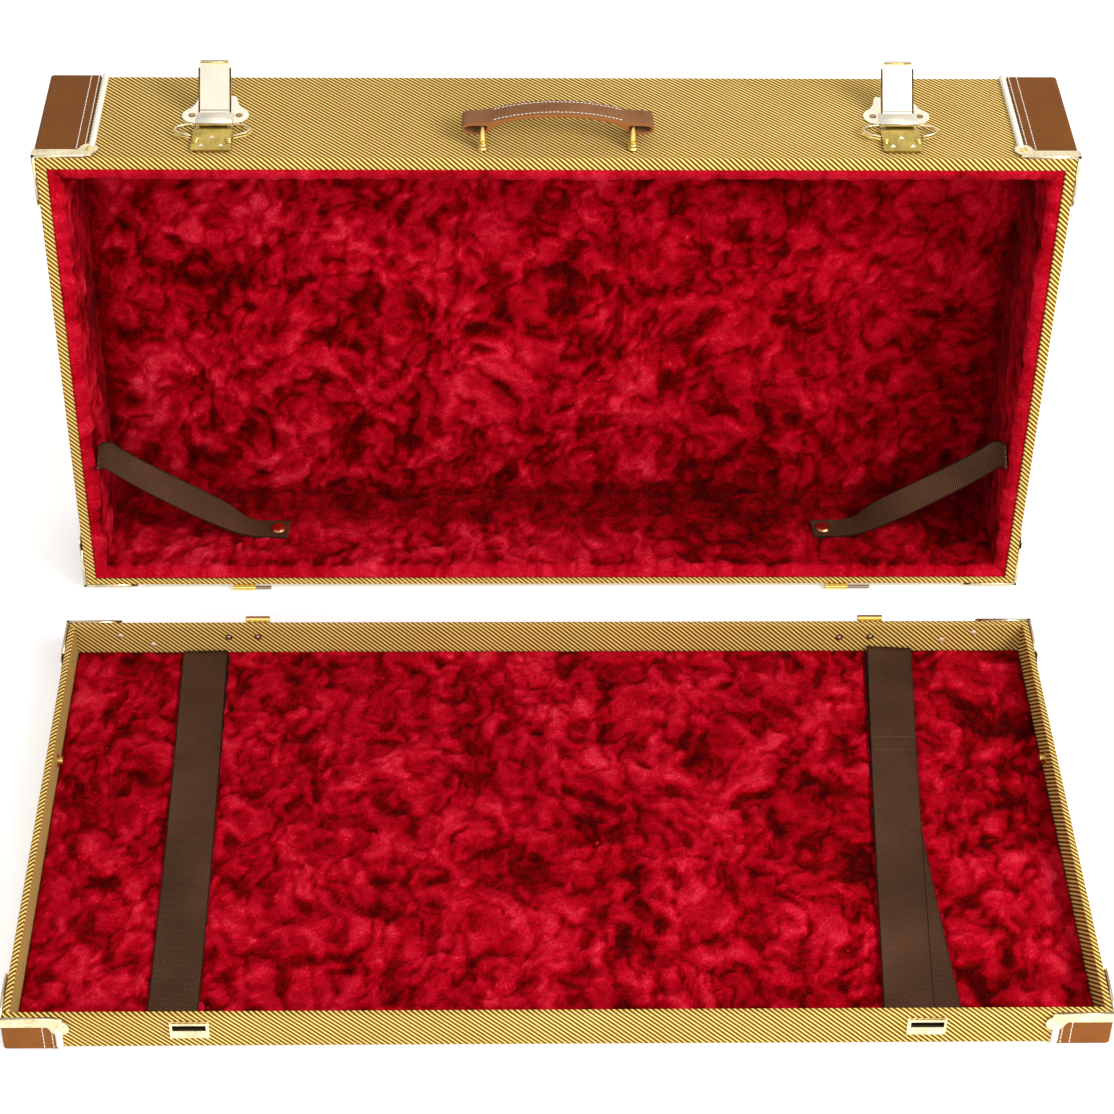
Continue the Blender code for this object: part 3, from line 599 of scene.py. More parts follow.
def pad_into(verts, faces, nap_shades, size, thick, turn, fluff=1.0, dip=None, light_and_shade=None):
    """One closed pad: size is (u, v), thick its height, turn the matrix from (u, v, t) to the frame."""
    nu, nv = (max(2, round(side / PAD_STEP)) for side in size)
    u = np.linspace(0, size[0], nu + 1)
    v = np.linspace(0, size[1], nv + 1)
    uu, vv = np.meshgrid(u, v, indexing="ij")
    border = np.minimum(np.minimum(uu, size[0] - uu), np.minimum(vv, size[1] - vv))
    rise = np.sqrt(1 - (1 - np.clip(border / PAD_EDGE, 0, 1)) ** 2)
    turn = np.array(turn)
    flat = np.stack([uu.ravel(), vv.ravel(), np.full(uu.size, thick)], axis=1)
    world = flat @ turn[:3, :3].T + turn[:3, 3]
    nap_shade = nap_shade_field(world)
    # Painted light and shade, where a pad is given them, go into the same field.
    if light_and_shade:
        nap_shade = light_and_shade(world, nap_shade)
    lump = NOISE.fbm(world / 0.016 + 5, 2) * 0.9 * MM + NOISE.fbm(world / 0.0065 + 25, 1) * 0.45 * MM
    puff = (nap_shade - 0.62) * 3.2 * MM * fluff + lump * fluff
    if dip:
        puff = np.where(dip(world), np.minimum(puff, 0) - 1.4 * MM, puff)
    height = (thick + puff) * (0.12 + 0.88 * rise.ravel())
    top = np.stack([uu.ravel(), vv.ravel(), height], axis=1)
    low = np.stack([uu.ravel(), vv.ravel(), np.zeros(uu.size)], axis=1)
    base = len(verts)
    count = uu.size
    verts.extend((np.concatenate([top, low]) @ turn[:3, :3].T + turn[:3, 3]).tolist())
    nap_shades.extend(nap_shade.tolist() + nap_shade.tolist())
    index = np.arange(count).reshape(nu + 1, nv + 1) + base
    quads = np.stack([index[:-1, :-1], index[1:, :-1], index[1:, 1:], index[:-1, 1:]], axis=-1).reshape(-1, 4)
    faces.extend(quads.tolist())
    rim = [*index[:, 0], *index[-1, 1:], *index[-2::-1, -1], *index[0, -2:0:-1]]
    for a, b in zip(rim, rim[1:] + rim[:1]):
        faces.append([b, a, a + count, b + count])
    faces.append([i + count for i in rim[::-1]])


def pad_object(name, verts, faces, nap_shades, body, replaced):
    """The pads as one piece, without the points that no face uses."""
    used = sorted({i for f in faces for i in f})
    renumber = {old: new for new, old in enumerate(used)}
    kept = [[renumber[i] for i in f] for f in faces]
    made = mesh_object(name, [verts[i] for i in used], kept, MATERIALS["plush"])
    made.data.attributes.new("nap_shade", "FLOAT", "POINT").data.foreach_set("value", [nap_shades[i] for i in used])
    turn_out(made.data)
    place(made, body, replaced)


def axes_matrix(u, v, t, origin):
    return Matrix.Translation(origin) @ Matrix((Vector(u), Vector(v), Vector(t))).transposed().to_4x4()


def strap_span(name):
    """A tray strap's front and rear ends: y, lowest x and highest x of each."""
    corners = [v.co for v in frame["nodes"][name].data.vertices]
    low_y, high_y = min(c.y for c in corners), max(c.y for c in corners)
    front = [c.x for c in corners if c.y < low_y + MM]
    rear = [c.x for c in corners if c.y > high_y - MM]
    return (low_y, min(front), max(front)), (high_y, min(rear), max(rear))


def under_straps(world):
    """Where a strap presses the tray's plush down."""
    found = np.zeros(len(world), bool)
    around = 3 * MM
    for name in ("strap_left", "strap_right", "strap_right_under"):
        (low_y, *front), (high_y, *rear) = strap_span(name)
        t = np.clip((world[:, 1] - low_y) / (high_y - low_y), 0, 1)
        left, right = (a + (b - a) * t for a, b in zip(front, rear))
        inside = (world[:, 0] > left - around) & (world[:, 0] < right + around)
        found |= inside & (world[:, 1] > low_y - around) & (world[:, 1] < high_y + around)
    return found


def tray_plush():
    low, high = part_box("tray_pad")
    verts, faces, nap_shades = [], [], []
    turn = axes_matrix((1, 0, 0), (0, 1, 0), (0, 0, 1), low)
    size = (high.x - low.x, high.y - low.y)
    pad_into(verts, faces, nap_shades, size, high.z - low.z, turn, dip=under_straps)
    pad_object("tray_plush", verts, faces, nap_shades, "tray", ["tray_pad"])


def cover_plush():
    low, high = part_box("cover_lining")
    thick, back = 12 * MM, 8 * MM
    wide, tall, deep = high.x - low.x, high.z - low.z, high.y - low.y
    reach = deep - back + 3 * MM  # of the side pads, a little into the back one
    side_y = low.y + 0.3 * MM
    verts, faces, nap_shades = [], [], []
    # (u, v, t) directions, origin, size, thickness
    panels = [
        ((1, 0, 0), (0, 0, 1), (0, -1, 0), (low.x, high.y, low.z), (wide, tall), back),
        ((1, 0, 0), (0, 1, 0), (0, 0, 1), (low.x, low.y, low.z), (wide, reach), thick),
        ((1, 0, 0), (0, 1, 0), (0, 0, -1), (low.x, low.y, high.z), (wide, reach), thick),
        ((0, 1, 0), (0, 0, 1), (1, 0, 0), (low.x, side_y, low.z), (reach, tall), thick),
        ((0, 1, 0), (0, 0, 1), (-1, 0, 0), (high.x, side_y, low.z), (reach, tall), thick),
    ]

    def light_and_shade(world, nap_shade):
        """Painted light along the open edge, painted shade where two pads meet, and a painted shadow towards
        the right-hand side.
        """
        ragged = NOISE.fbm(world / 0.009 + 60, 2) * 4.5 * MM
        depth = world[:, 1] - low.y
        # Painted light: the plush along the open edge is made brighter, as if it caught the light.
        lit_open_edge = smoothstep(8 * MM, 2 * MM, depth + ragged)
        inner = np.array([low.x, low.z]) + thick
        outer = np.array([high.x, high.z]) - thick
        across = world[:, [0, 2]]
        to_side = np.minimum(across - inner, outer - across).min(axis=1)
        # Painted shade: darker where two pads meet, deep in the cover.
        corner_shade = smoothstep(14 * MM, 1 * MM, np.abs(to_side) + ragged * 2)
        corner_shade = corner_shade * smoothstep(45 * MM, 90 * MM, depth)
        # Painted shadow: darker towards the right-hand side, where the right side wall shades the lining.
        shade = smoothstep(-0.1, HALF, world[:, 0])
        nap_shade = nap_shade * (1.06 - 0.26 * shade)
        return np.clip(nap_shade * (1 - 0.45 * corner_shade) * (1 - lit_open_edge) + lit_open_edge * (0.52 + nap_shade * 0.38), 0, 1)

    for u, v, t, origin, size, height in panels:
        turn = axes_matrix(u, v, t, Vector(origin))
        fluff = 1.35 if height == thick else 1.0
        pad_into(verts, faces, nap_shades, size, height, turn, fluff, light_and_shade=light_and_shade)
    pad_object("cover_plush", verts, faces, nap_shades, "cover", ["cover_lining"])


tray_plush()
cover_plush()


# ---------------------------------------------------------------- webbing
def strap_section():
    """Webbing cut across: a flat band with rolled selvedges, in half widths and thicknesses."""
    top = [(-1.0, 0.25), (-0.985, 0.62), (-0.95, 0.5), (-0.90, 0.40), (-0.5, 0.42), (0, 0.43)]
    top = top + [(-a, b) for a, b in top[-2::-1]]
    return top + [(a, -b) for a, b in top[::-1]]


def ring_faces(count, rings):
    """The faces of a tube of that many rings of count points, with its caps."""
    faces = []
    for i in range(0, (rings - 1) * count, count):
        for k in range(count):
            j = (k + 1) % count
            faces.append((i + k, i + j, i + count + j, i + count + k))
    faces.append(tuple(range(count))[::-1])
    faces.append(tuple(range((rings - 1) * count, rings * count)))
    return faces


def webbing_strap(name, path, acrosses, width, thick, body, replaced):
    """A strap whose UVs run across and along it in metres, for the weave, and its selvedges, near-black as
    painted shade along its edges.
    """
    half, run = width / 2, 0.0
    section = strap_section()
    verts, places, sides = [], [], ([], [])
    for i, point in enumerate(path):
        along = along_at(path, i)
        across = (acrosses[i] - along * acrosses[i].dot(along)).normalized()
        out = across.cross(along)
        for line, way in zip(sides, (-1, 1)):
            line.append(point + across * (way * (half - 0.25 * MM)))
        if i:
            run += (point - path[i - 1]).length
        for a, b in section:
            verts.append(point + across * (a * half) + out * (b * thick))
            places.append((a * half, run))
    made = mesh_object(name, verts, ring_faces(len(section), len(path)), MATERIALS["webbing"])
    layer = made.data.uv_layers.new(name="strap")
    for corner in made.data.loops:
        layer.data[corner.index].uv = places[corner.vertex_index]
    turn_out(made.data)
    bm = bmesh.new()
    # The selvedge tubes stand for the shaded gap along the strap's edges: painted shade.
    for line in sides:
        tube_into(bm, line, thick * 0.62, 6)
    place(bm_object(f"{name}_selvedge_shades", bm, MATERIALS["selvedge_shade"]), body)
    place(made, body, replaced)


def strap_ends(name):
    """Mid points of a tray strap's front and rear ends."""
    low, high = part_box(name)
    return [Vector(((left + right) / 2, y, (low.z + high.z) / 2)) for y, left, right in strap_span(name)]


def tray_straps():
    for name, seed in (("strap_left", 1), ("strap_right_under", 2), ("strap_right", 3)):
        front, rear = strap_ends(name)
        way = (rear - front).normalized()
        path = []
        for t in (i / 60 for i in range(61)):
            wave = math.sin(t * 9 + seed * 2.1) * 0.35 * MM + math.sin(t * 23 + seed) * 0.15 * MM
            sway = math.sin(t * math.pi) * (1.4 if seed == 1 else -1.0) * MM
            path.append(front.lerp(rear, t) + Vector((sway, 0, wave)))
        acrosses = [Vector((way.y, -way.x, 0))] * len(path)
        webbing_strap(f"webbing_{name}", path, acrosses, 40.6 * MM, 1.7 * MM, "tray", [name])


# A stay's middle line, in mm from the cover's origin, and the way across it
STAY = (
    ((425.9, 6, 151), (0, 0, 1)),
    ((421.5, 16, 147), (-0.1, 0.1, 1)),
    ((414, 23, 136), (-0.55, 0.2, 0.8)),
    ((388, 31, 109), (-0.6, 0.4, 0.7)),
    ((344, 45, 67), (-0.45, 0.6, 0.65)),
    ((318, 54, 42), (-0.25, 0.85, 0.45)),
    ((300, 59, 25.5), (0, 1, 0.12)),
    ((287, 60, 20.4), (0, 1, 0)),
    ((272, 60, 19.9), (0, 1, 0)),
    ((257, 59, 19.9), (0.1, 1, 0)),
)


def stays():
    for side, sign in SIDES.items():
        flip = Vector((sign, 1, 1))
        points = [COVER + Vector(p) * MM * flip for p, _ in STAY]
        acrosses = [Vector(a) * flip for _, a in STAY]
        path, ways = smooth_path(points, 8), smooth_path(acrosses, 8)
        webbing_strap(f"webbing_stay_{side}", path, ways, 25 * MM, 1.5 * MM, "cover", [f"stay_{side}"])


tray_straps()
stays()


# ---------------------------------------------------------------- leather trim
def cup_path(corner, axes, inward, reach, far, lift, bottom):
    """Lines round a cup, reach from its corner: down each side, and over the bottom where it shows.

    axes are (first face's run, second face's run, the axis away from the closed face).
    """
    first, second, third = axes

    def point(a, b, c):
        at = [0.0] * 3
        at[first], at[second], at[third] = a, b, c
        return Vector(corner[i] + inward[i] * at[i] for i in range(3))

    legs = [[point(reach, -lift, far), point(reach, -lift, 0.6 * MM)]]
    if bottom:
        legs[0] += [point(reach, -lift * 0.6, -lift * 0.6), point(reach, 0.6 * MM, -lift)]
        legs[0] += [point(reach, reach - 3 * MM, -lift), point(reach - 1 * MM, reach - 1 * MM, -lift)]
        legs[0] += [point(reach - 3 * MM, reach, -lift), point(0.6 * MM, reach, -lift)]
        legs[0] += [point(-lift * 0.6, reach, -lift * 0.6), point(-lift, reach, 0.6 * MM)]
        legs[0].append(point(-lift, reach, far))
    else:
        legs.append([point(-lift, reach, 0.6 * MM), point(-lift, reach, far)])
    return legs


def stitch_into(bm, line, pitch, length, radius, rng):
    """A row of stitches, each a little out of line."""
    points = resampled(line, pitch)
    for a, b in zip(points, points[1:]):
        way = (b - a).normalized()
        mid = a.lerp(b, 0.5) + Vector(rng.normal(0, 0.07 * MM, 3))
        half = way * length / 2
        tube_into(bm, [mid - half, mid - half * 0.5, mid + half * 0.5, mid + half], radius, 6)


def leather_cups():
    """Each corner cup: its corner, axes and ways inwards as cup_path takes them, and its rows in mm."""
    cups = []
    for side, sign in SIDES.items():
        for end, y, inward in (("front", 0, 1), ("rear", DEPTH, -1)):
            cups.append(
                dict(
                    name=f"tray_{end}_{side}",
                    body="tray",
                    corner=TRAY + Vector((sign * HALF, y, 1.8 * MM)),
                    axes=(0, 1, 2),
                    inward=(-sign, inward, 1),
                    far=27.0 * MM,
                    bottom=False,
                    rows=(32, 39.5),
                    welt=44.6,
                )
            )
        for end, z, inward in (("front", DEPTH, -1), ("hinge", 0, 1)):
            cups.append(
                dict(
                    name=f"cover_{end}_{side}",
                    body="cover",
                    corner=COVER + Vector((sign * HALF, DEEP, z)),
                    axes=(0, 2, 1),
                    inward=(-sign, -1, inward),
                    far=DEEP - 12 * MM,
                    bottom=True,
                    rows=(35, 42),
                    welt=47.6,
                )
            )
    return cups


CUPS = leather_cups()


def leather_trim():
    rng = np.random.RandomState(3)
    for cup in CUPS:
        common = (cup["corner"], cup["axes"], cup["inward"])
        bm = bmesh.new()
        for row in cup["rows"]:
            for line in cup_path(*common, row * MM, cup["far"], 1.9 * MM, cup["bottom"]):
                stitch_into(bm, line, 4.4 * MM, 3.7 * MM, 0.5 * MM, rng)
        place(bm_object(f"stitches_{cup['name']}", bm, MATERIALS["thread"]), cup["body"])
        bm = bmesh.new()
        for line in cup_path(*common, cup["welt"] * MM, cup["far"], 1.2 * MM, cup["bottom"]):
            tube_into(bm, resampled(line, 3 * MM), 2.9 * MM, 12)
        place(bm_object(f"welt_{cup['name']}", bm, MATERIALS["welt"]), cup["body"])


leather_trim()


# ---------------------------------------------------------------- handle
def handle_outline():
    """The strap's outline and its two slots, in mm from the cover's top at its middle."""
    half = [(0, 31.2), (22, 30.2), (42, 27.0), (56, 23.4), (66, 21.7), (76, 21.3), (81.5, 19.6), (83.3, 16.0)]
    half += [(81.5, 12.4), (76, 10.6), (68, 10.5), (61, 12.6), (56, 16.6), (50, 20.4), (40, 23.4), (22, 26.4)]
    half.append((0, 27.5))
    slot = [(61.5, 16.8), (62.5, 18.9), (76, 18.9), (80, 17.6), (81.2, 16.0), (80, 14.2), (76, 12.6)]
    slot += [(68, 12.5), (64, 13.6)]
    return half + [(-a, b) for a, b in half[-2:0:-1]], [slot, [(-a, b) for a, b in slot[::-1]]]


def outline_curve(outlines, half_width, bevel):
    """A curve filled between smooth outlines, extruded both ways with bevelled edges."""
    data = bpy.data.curves.new("handle_curve", "CURVE")
    data.dimensions = "2D"
    data.fill_mode = "BOTH"
    for outline in outlines:
        points = closed_smooth(outline, 4)
        spline = data.splines.new("POLY")
        spline.points.add(len(points) - 1)
        for target, (a, b) in zip(spline.points, points):
            target.co = (a * MM, b * MM, 0, 1)
        spline.use_cyclic_u = True
    data.extrude = half_width - bevel
    data.bevel_depth = bevel
    data.bevel_resolution = 2
    data.offset = -bevel
    return data


def handle_strap():
    low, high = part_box("handle_strap")
    outer, slots = handle_outline()
    holder = link("handle_holder", outline_curve([outer, *slots], (high.y - low.y) / 2, 0.7 * MM))
    at = Matrix.Translation((COVER.x, (low.y + high.y) / 2, COVER.z + DEPTH))
    holder.matrix_world = at @ Matrix.Rotation(math.pi / 2, 4, "X")
    bpy.context.view_layer.update()
    mesh = bpy.data.meshes.new_from_object(holder.evaluated_get(bpy.context.evaluated_depsgraph_get()))
    mesh.transform(holder.matrix_world)
    bpy.data.objects.remove(holder)
    bm = bmesh.new()
    bm.from_mesh(mesh)
    bmesh.ops.remove_doubles(bm, verts=bm.verts, dist=0.01 * MM)
    finish_mesh(bm, mesh)
    mesh.materials.clear()
    mesh.materials.append(MATERIALS["handle_leather"])
    mesh.shade_smooth()
    mesh.set_sharp_from_angle(angle=math.radians(50))
    place(link("handle_leather", mesh), "handle", ["handle_strap"])
    handle_stitches(outer, low, high)


def handle_stitches(outer, low, high):
    """A row of stitches along each edge of the grip's top."""
    rng = np.random.RandomState(5)
    top = outer[:6]
    line = [(-a, b) for a, b in top[:0:-1]] + top
    level = COVER.z + DEPTH
    bm = bmesh.new()
    for y in (low.y + 3.2 * MM, high.y - 3.2 * MM):
        points = [Vector((COVER.x + a * MM, y, level + (b + 0.15) * MM)) for a, b in line if abs(a) < 60]
        stitch_into(bm, smooth_path(points, 6), 3.4 * MM, 2.5 * MM, 0.42 * MM, rng)
    place(bm_object("handle_stitches", bm, MATERIALS["thread"]), "handle")


handle_strap()


# ---------------------------------------------------------------- small metal pieces
def dome(radius, height):
    """A rivet head's profile."""
    steps = [(0.0, 1.0), (0.35, 0.98), (0.65, 0.86), (0.87, 0.62), (0.97, 0.34), (1.0, 0.0)]
    return [(-0.15 * MM, 0)] + [(-0.15 * MM, radius)] + [(height * a, radius * b) for a, b in steps]


def rivets(name, places, radius, height, material, body):
    """places are (point, outward direction)."""
    bm = bmesh.new()
    for point, out in places:
        lathe_into(bm, dome(radius, height), point, out, 16)
    place(bm_object(name, bm, MATERIALS[material]), body)


def clamp_rivets():
    for cup in CUPS:
        body = cup["body"]
        first, second, third = cup["axes"]
        found = []
        for run, face in ((first, second), (second, first)):
            at, way = [0.0] * 3, [0.0] * 3
            at[run] = cup["corner"][run] + cup["inward"][run] * 46.2 * MM
            at[face] = cup["corner"][face] - cup["inward"][face] * 2.85 * MM
            at[third] = TRAY.z + RIM - 10.6 * MM if body == "tray" else COVER.y + 10.6 * MM
            way[face] = -cup["inward"][face]
            found.append((Vector(at), Vector(way)))
        look = "clamp_brass" if body == "tray" else "brass"
        rivets(f"clamp_rivets_{cup['name']}", found, 3.3 * MM, 1.0 * MM, look, body)


# On the inside of the tray's rear wall, as (x, z) in mm
REAR_RIVETS = ((-373, 15), (-402.5, 26), (370, 19), (399.2, 28))
REAR_EYELETS = ((-301.4, 24.5), (-274.2, 24.5), (272.6, 22.5), (301.7, 23.5))


def rear_wall_rivets():
    inner = TRAY.y + DEPTH - 6 * MM

    def heads(spots, proud=0.0):
        return [(Vector((TRAY.x + x * MM, inner - proud, z * MM)), Vector((0, -1, 0))) for x, z in spots]

    rivets("rear_wall_rivets", heads(REAR_RIVETS), 2.6 * MM, 0.8 * MM, "satin_brass", "tray")
    rivets("rear_wall_eyelets", heads(REAR_EYELETS), 3.4 * MM, 0.8 * MM, "dark_brass_and_shade", "tray")
    rivets("rear_wall_eyelet_caps", heads(REAR_EYELETS, 0.6 * MM), 1.9 * MM, 0.7 * MM, "pale_brass", "tray")


def latch_rivets():
    for side, sign in SIDES.items():
        x = COVER.x + sign * LATCH_X
        level = COVER.z + DEPTH + 1.25 * MM
        found = [(Vector((x + k * 20.6 * MM, COVER.y + 68.6 * MM, level)), UP) for k in (-1, 1)]
        rivets(f"latch_rivets_{side}", found, 3.2 * MM, 0.6 * MM, "dark_brass_and_shade", "cover")
        centres = [(p + d * 0.3 * MM, d) for p, d in found]
        rivets(f"latch_rivet_caps_{side}", centres, 2.7 * MM, 0.6 * MM, "rivet_bronze", "cover")


def staple_collars():
    """The stepped foot of each handle staple."""
    profile = [(0, 0), (0, 4.7), (1.8, 4.6), (2.4, 3.6), (3.6, 3.4), (4.3, 4.0), (5.6, 3.6), (6.4, 2.3)]
    profile.append((6.4, 0))
    for side in SIDES:
        low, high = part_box(f"handle_staple_{side}")
        bm = bmesh.new()
        for y in (low.y + 2 * MM, high.y - 2 * MM):
            foot = Vector(((low.x + high.x) / 2, y, COVER.z + DEPTH + 0.2 * MM))
            lathe_into(bm, [(h * MM, r * MM) for h, r in profile], foot, UP, 16)
        place(bm_object(f"staple_collars_{side}", bm, MATERIALS["brass"]), "cover")


clamp_rivets()
rear_wall_rivets()
latch_rivets()
staple_collars()


def slab(bm, low, high):
    """A block with softened edges, from corner to corner."""
    made = bmesh.ops.create_cube(bm, size=1.0)["verts"]
    for v in made:
        v.co = Vector(low[i] + (v.co[i] + 0.5) * (high[i] - low[i]) for i in range(3))
    edges = list(dict.fromkeys(e for v in made for e in v.link_edges))
    wide = min(high[i] - low[i] for i in range(3)) * 0.25
    bmesh.ops.bevel(bm, geom=edges, offset=wide, segments=2, affect="EDGES")


# Each pivot is (y, z) in mm on the cover's front wall
LEVER_PIVOT = (64, 4.6)
LEVER_LEAN = math.radians(40.5)
CLAW_PIVOT = (48.5, 3.6)
CLAW_DROOP = math.radians(1.6)


def latch_frame(x, pivot, angle):
    """From a latch part's own drawing, in mm from its pivot, to the row frame at rest."""
    at = COVER + Vector((x, pivot[0] * MM, DEPTH + pivot[1] * MM))
    return Matrix.Translation(at) @ Matrix.Rotation(angle, 4, "X") @ Matrix.Scale(MM, 4)


def latch_piece(name, blocks, turn, look, body):
    """Blocks in a latch part's own drawing, as one piece."""
    bm = bmesh.new()
    for low, high in blocks:
        slab(bm, low, high)
    bm.transform(turn)
    place(bm_object(name, bm, MATERIALS[look]), body)


def lever_details(side, x):
    turn, body = latch_frame(x, LEVER_PIVOT, -LEVER_LEAN), f"lever_{side}"
    shade_lines = [
        ((-14.3, -1.25, 1.5), (-12.85, -0.95, 41.0)),
        ((12.85, -1.25, 1.5), (14.3, -0.95, 41.0)),
        ((-11.6, -2.6, 46.55), (11.6, -1.6, 47.3)),
        ((-12.4, -1.62, 3.4), (12.4, -1.42, 4.0)),
    ]
    latch_piece(f"lever_shadow_lines_{side}", shade_lines, turn, "dark_brass_and_shade", body)
    lip = [((-12.0, -5.45, 44.2), (12.0, -5.2, 45.6))]
    latch_piece(f"lever_lip_{side}", lip, turn, "brass", body)


def claw_details(side, x):
    """The claw's three pointed bumps and the folded tabs at its sides."""
    turn, body = latch_frame(x, CLAW_PIVOT, CLAW_DROOP), f"claw_{side}"
    bm = bmesh.new()
    for a, b in ((0, -20), (-8.6, -33), (8.6, -33)):
        ways = [math.radians(90 + 120 * k) for k in range(3)]
        foot = [bm.verts.new((a + 2.8 * math.cos(t), b + 2.8 * math.sin(t), 0.55)) for t in ways]
        top = bm.verts.new((a, b + 0.3, 2.3))
        bm.faces.new(foot[::-1])
        for k in range(3):
            bm.faces.new((foot[k], foot[(k + 1) % 3], top))
    bm.transform(turn)
    bumps = bm_object(f"claw_bumps_{side}", bm, MATERIALS["pale_brass"], smooth=False)
    place(bumps, body)
    tabs = []
    for k in (-1, 1):
        for step in range(3):
            b = -23.2 - 2.5 * step
            left, right = sorted((k * (10.8 + 0.7 * step), k * 16.9))
            tabs.append(((left, b - 1.0, 0.5), (right, b + 0.9, 1.75 - 0.15 * step)))
    latch_piece(f"claw_tabs_{side}", tabs, turn, "brass", body)


def bridge_details(side, turn):
    # Painted shade: dark strips at the gap under the lever and along the roof's front drop.
    shade_lines = [((-15.8, 43.9, 6.15), (15.8, 44.22, 6.5)), ((-15.8, 44.3, 7.38), (15.8, 44.9, 7.55))]
    latch_piece(f"bridge_shade_lines_{side}", shade_lines, turn, "dark_brass_and_shade", "cover")
    face = [((-15.9, 45.1, 7.36), (15.9, 61.3, 7.48))]
    latch_piece(f"bridge_face_{side}", face, turn, "satin_brass", "cover")


# Half of a spring loop's second strand, in the latch's drawing
STRAND = ((17.4, 46.2, 5.4), (21, 45.6, 5.7), (27, 43.8, 5.9), (31.6, 40, 6.1), (31.9, 35.4, 6.2))
STRAND += ((28.6, 31.4, 6.1), (23.6, 29.2, 5.9), (18.0, 27.8, 5.3))


def spring_strands(side, turn):
    """The second strand of each spring loop, and the coil beside it."""
    bm = bmesh.new()
    for k in (-1, 1):
        path = smooth_path([turn @ Vector((k * a, b, h)) for a, b, h in STRAND], 4)
        tube_into(bm, path, 0.95 * MM, 8)
        coil = []
        for t in np.linspace(0, 1, 34):
            at = (k * (19.5 + 7.5 * t), 47.0 - 2.6 * t + math.sin(t * 19), 5.2 + math.cos(t * 19))
            coil.append(turn @ Vector(at))
        tube_into(bm, coil, 0.65 * MM, 6)
    place(bm_object(f"spring_second_strand_{side}", bm, MATERIALS["clamp_brass"]), f"spring_{side}")


def latch_details():
    for side, sign in SIDES.items():
        x = sign * LATCH_X
        lever_details(side, x)
        claw_details(side, x)
        turn = latch_frame(x, (0, 0), 0)
        bridge_details(side, turn)
        spring_strands(side, turn)


def catch_slot_shades():
    """Painted shade: a near-black sheet behind each catch's slot, for the dark inside of its hollow."""
    for side, sign in SIDES.items():
        x = TRAY.x + sign * LATCH_X
        low = (x - 13.8 * MM, TRAY.y - 0.17 * MM, 23.0 * MM)
        high = (x + 13.8 * MM, TRAY.y - 0.05 * MM, 29.6 * MM)
        bm = bmesh.new()
        slab(bm, low, high)
        place(bm_object(f"catch_slot_shade_{side}", bm, MATERIALS["black_hook_and_shade"]), "tray")


def hook_strips():
    """The hook strips that show beside the straps at the rear."""
    for name, edge in (("strap_left", 1), ("strap_right", -1)):
        front, rear = strap_ends(name)
        rows = []
        for t in np.linspace(0.62, 0.985, 24):
            at = front.lerp(rear, t)
            ragged = (1.1 + 0.5 * math.sin(t * 90)) * MM
            wide = 21.4 * MM + ragged * (0.3 + t)
            left, right = sorted((at.x + edge * 17 * MM, at.x + edge * wide))
            low, high = at.z - 1.3 * MM, at.z - 0.35 * MM
            corners = ((left, low), (right, low), (right, high), (left, high))
            rows.append([Vector((x, at.y, z)) for x, z in corners])
        bm = bmesh.new()
        sweep_rings(bm, rows)
        place(bm_object(f"hook_strip_{name}", bm, MATERIALS["black_hook_and_shade"], smooth=False), "tray")


def strap_hem():
    """Two rows of stitches across the doubled strap."""
    front, rear = strap_ends("strap_right")
    rng = np.random.RandomState(11)
    for k, t in enumerate((0.70, 0.735)):
        at = front.lerp(rear, t) + Vector((0, 0, 1.0 * MM))
        across = Vector((19 * MM, 0, 0))
        bm = bmesh.new()
        stitch_into(bm, [at - across, at + across], 2.6 * MM, 2.1 * MM, 0.28 * MM, rng)
        place(bm_object(f"hem_stitches_{k}", bm, MATERIALS["webbing_thread"]), "tray")


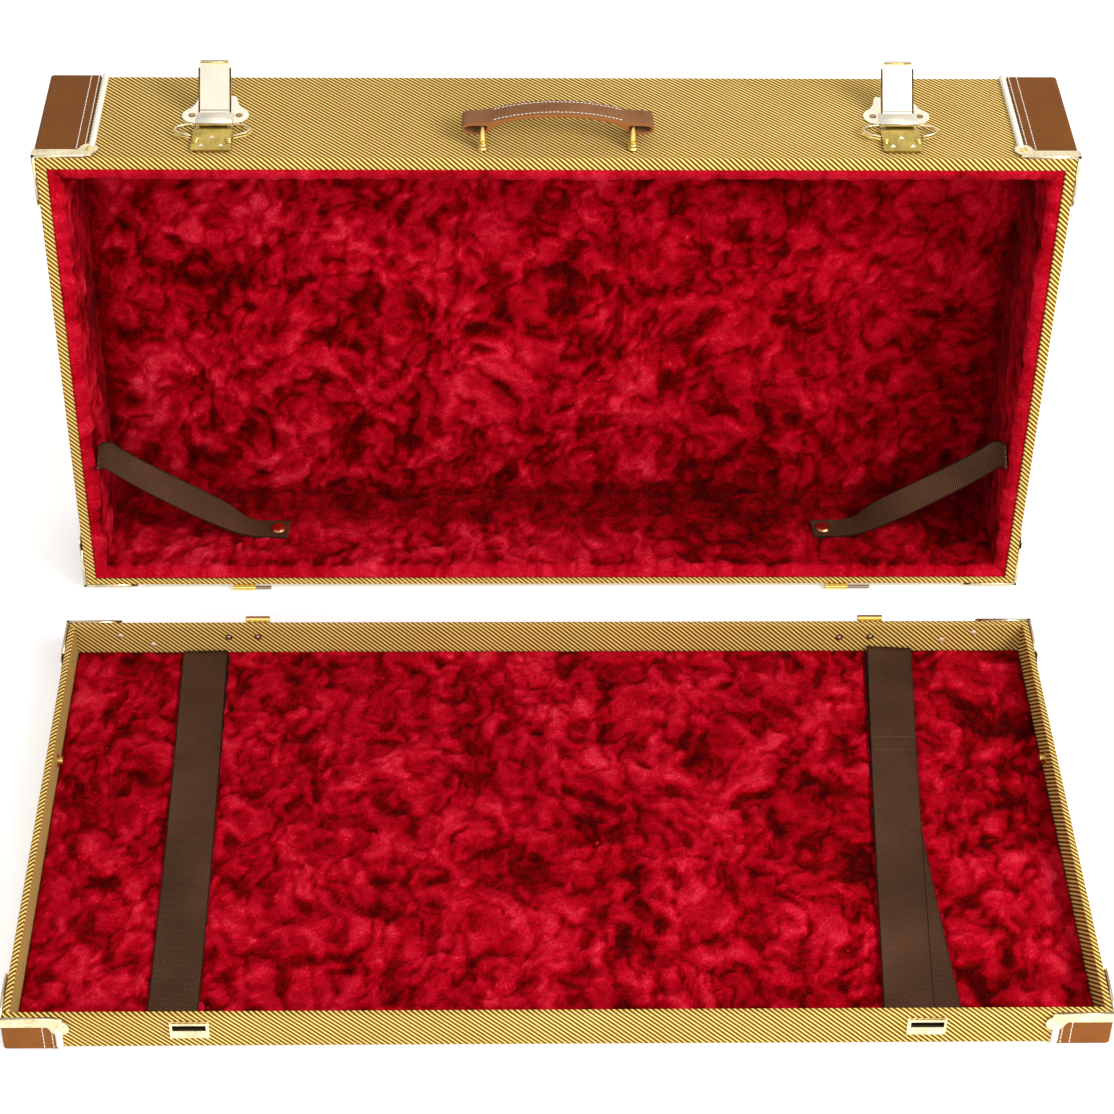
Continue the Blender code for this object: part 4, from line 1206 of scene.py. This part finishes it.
def clamp_lips():
    """The turned edge of each clamp, over the leather's edge at the rim."""
    for cup in CUPS:
        first, second, third = cup["axes"]
        rim = TRAY.z + RIM if cup["body"] == "tray" else COVER.y
        down = -1 if cup["body"] == "tray" else 1
        bm = bmesh.new()
        for run, face in ((first, second), (second, first)):
            low, high = [0.0] * 3, [0.0] * 3
            for axis, a, b in ((run, -2.8, 43.0), (face, -2.8, -0.1)):
                ends = [cup["corner"][axis] + cup["inward"][axis] * v * MM for v in (a, b)]
                low[axis], high[axis] = min(ends), max(ends)
            low[third], high[third] = sorted((rim + down * 0.02 * MM, rim + down * 0.37 * MM))
            slab(bm, low, high)
        place(bm_object(f"clamp_lip_{cup['name']}", bm, MATERIALS["clamp_brass"]), cup["body"])


clamp_lips()
latch_details()
catch_slot_shades()
hook_strips()
strap_hem()


# ---------------------------------------------------------------- light and floor
def area_light(name, at, target, size, power):
    data = bpy.data.lights.new(name, "AREA")
    data.shape = "RECTANGLE"
    data.size, data.size_y = size
    data.energy = power
    light = link(name, data)
    light.location = at
    light.rotation_euler = (Vector(target) - Vector(at)).to_track_quat("-Z", "Y").to_euler()


def make_studio():
    bm = bmesh.new()
    bmesh.ops.create_grid(bm, x_segments=1, y_segments=1, size=25)
    paint = Nodes("floor_paint").finish(
        Base_Color=(0.94, 0.94, 0.94),
        Roughness=1.0,
        Emission_Color=(1, 1, 1),
        Emission_Strength=0.28,
    )
    floor = bm_object("floor", bm, paint, smooth=False)
    floor.location.z = -0.2 * MM
    world = bpy.data.worlds.new("studio")
    bpy.context.scene.world = world
    world.use_nodes = True
    background = world.node_tree.nodes["Background"]
    background.inputs["Color"].default_value = (1, 1, 1, 1)
    background.inputs["Strength"].default_value = 0.66
    area_light("key", (1.75, -1.15, 2.0), (0, 0.1, 0.15), (1.1, 0.9), 56)
    area_light("fill", (-0.8, -2.3, 1.3), (0, 0.0, 0.15), (1.8, 1.2), 6)
    area_light("card", (0.0, -2.4, 1.8), (0, 0.2, 0.5), (3.2, 1.7), 27)
    area_light("top", (0.1, 2.2, 2.6), (0, 0.2, 0.3), (2.2, 1.2), 12)
    bpy.context.scene.view_settings.view_transform = "Standard"


make_studio()
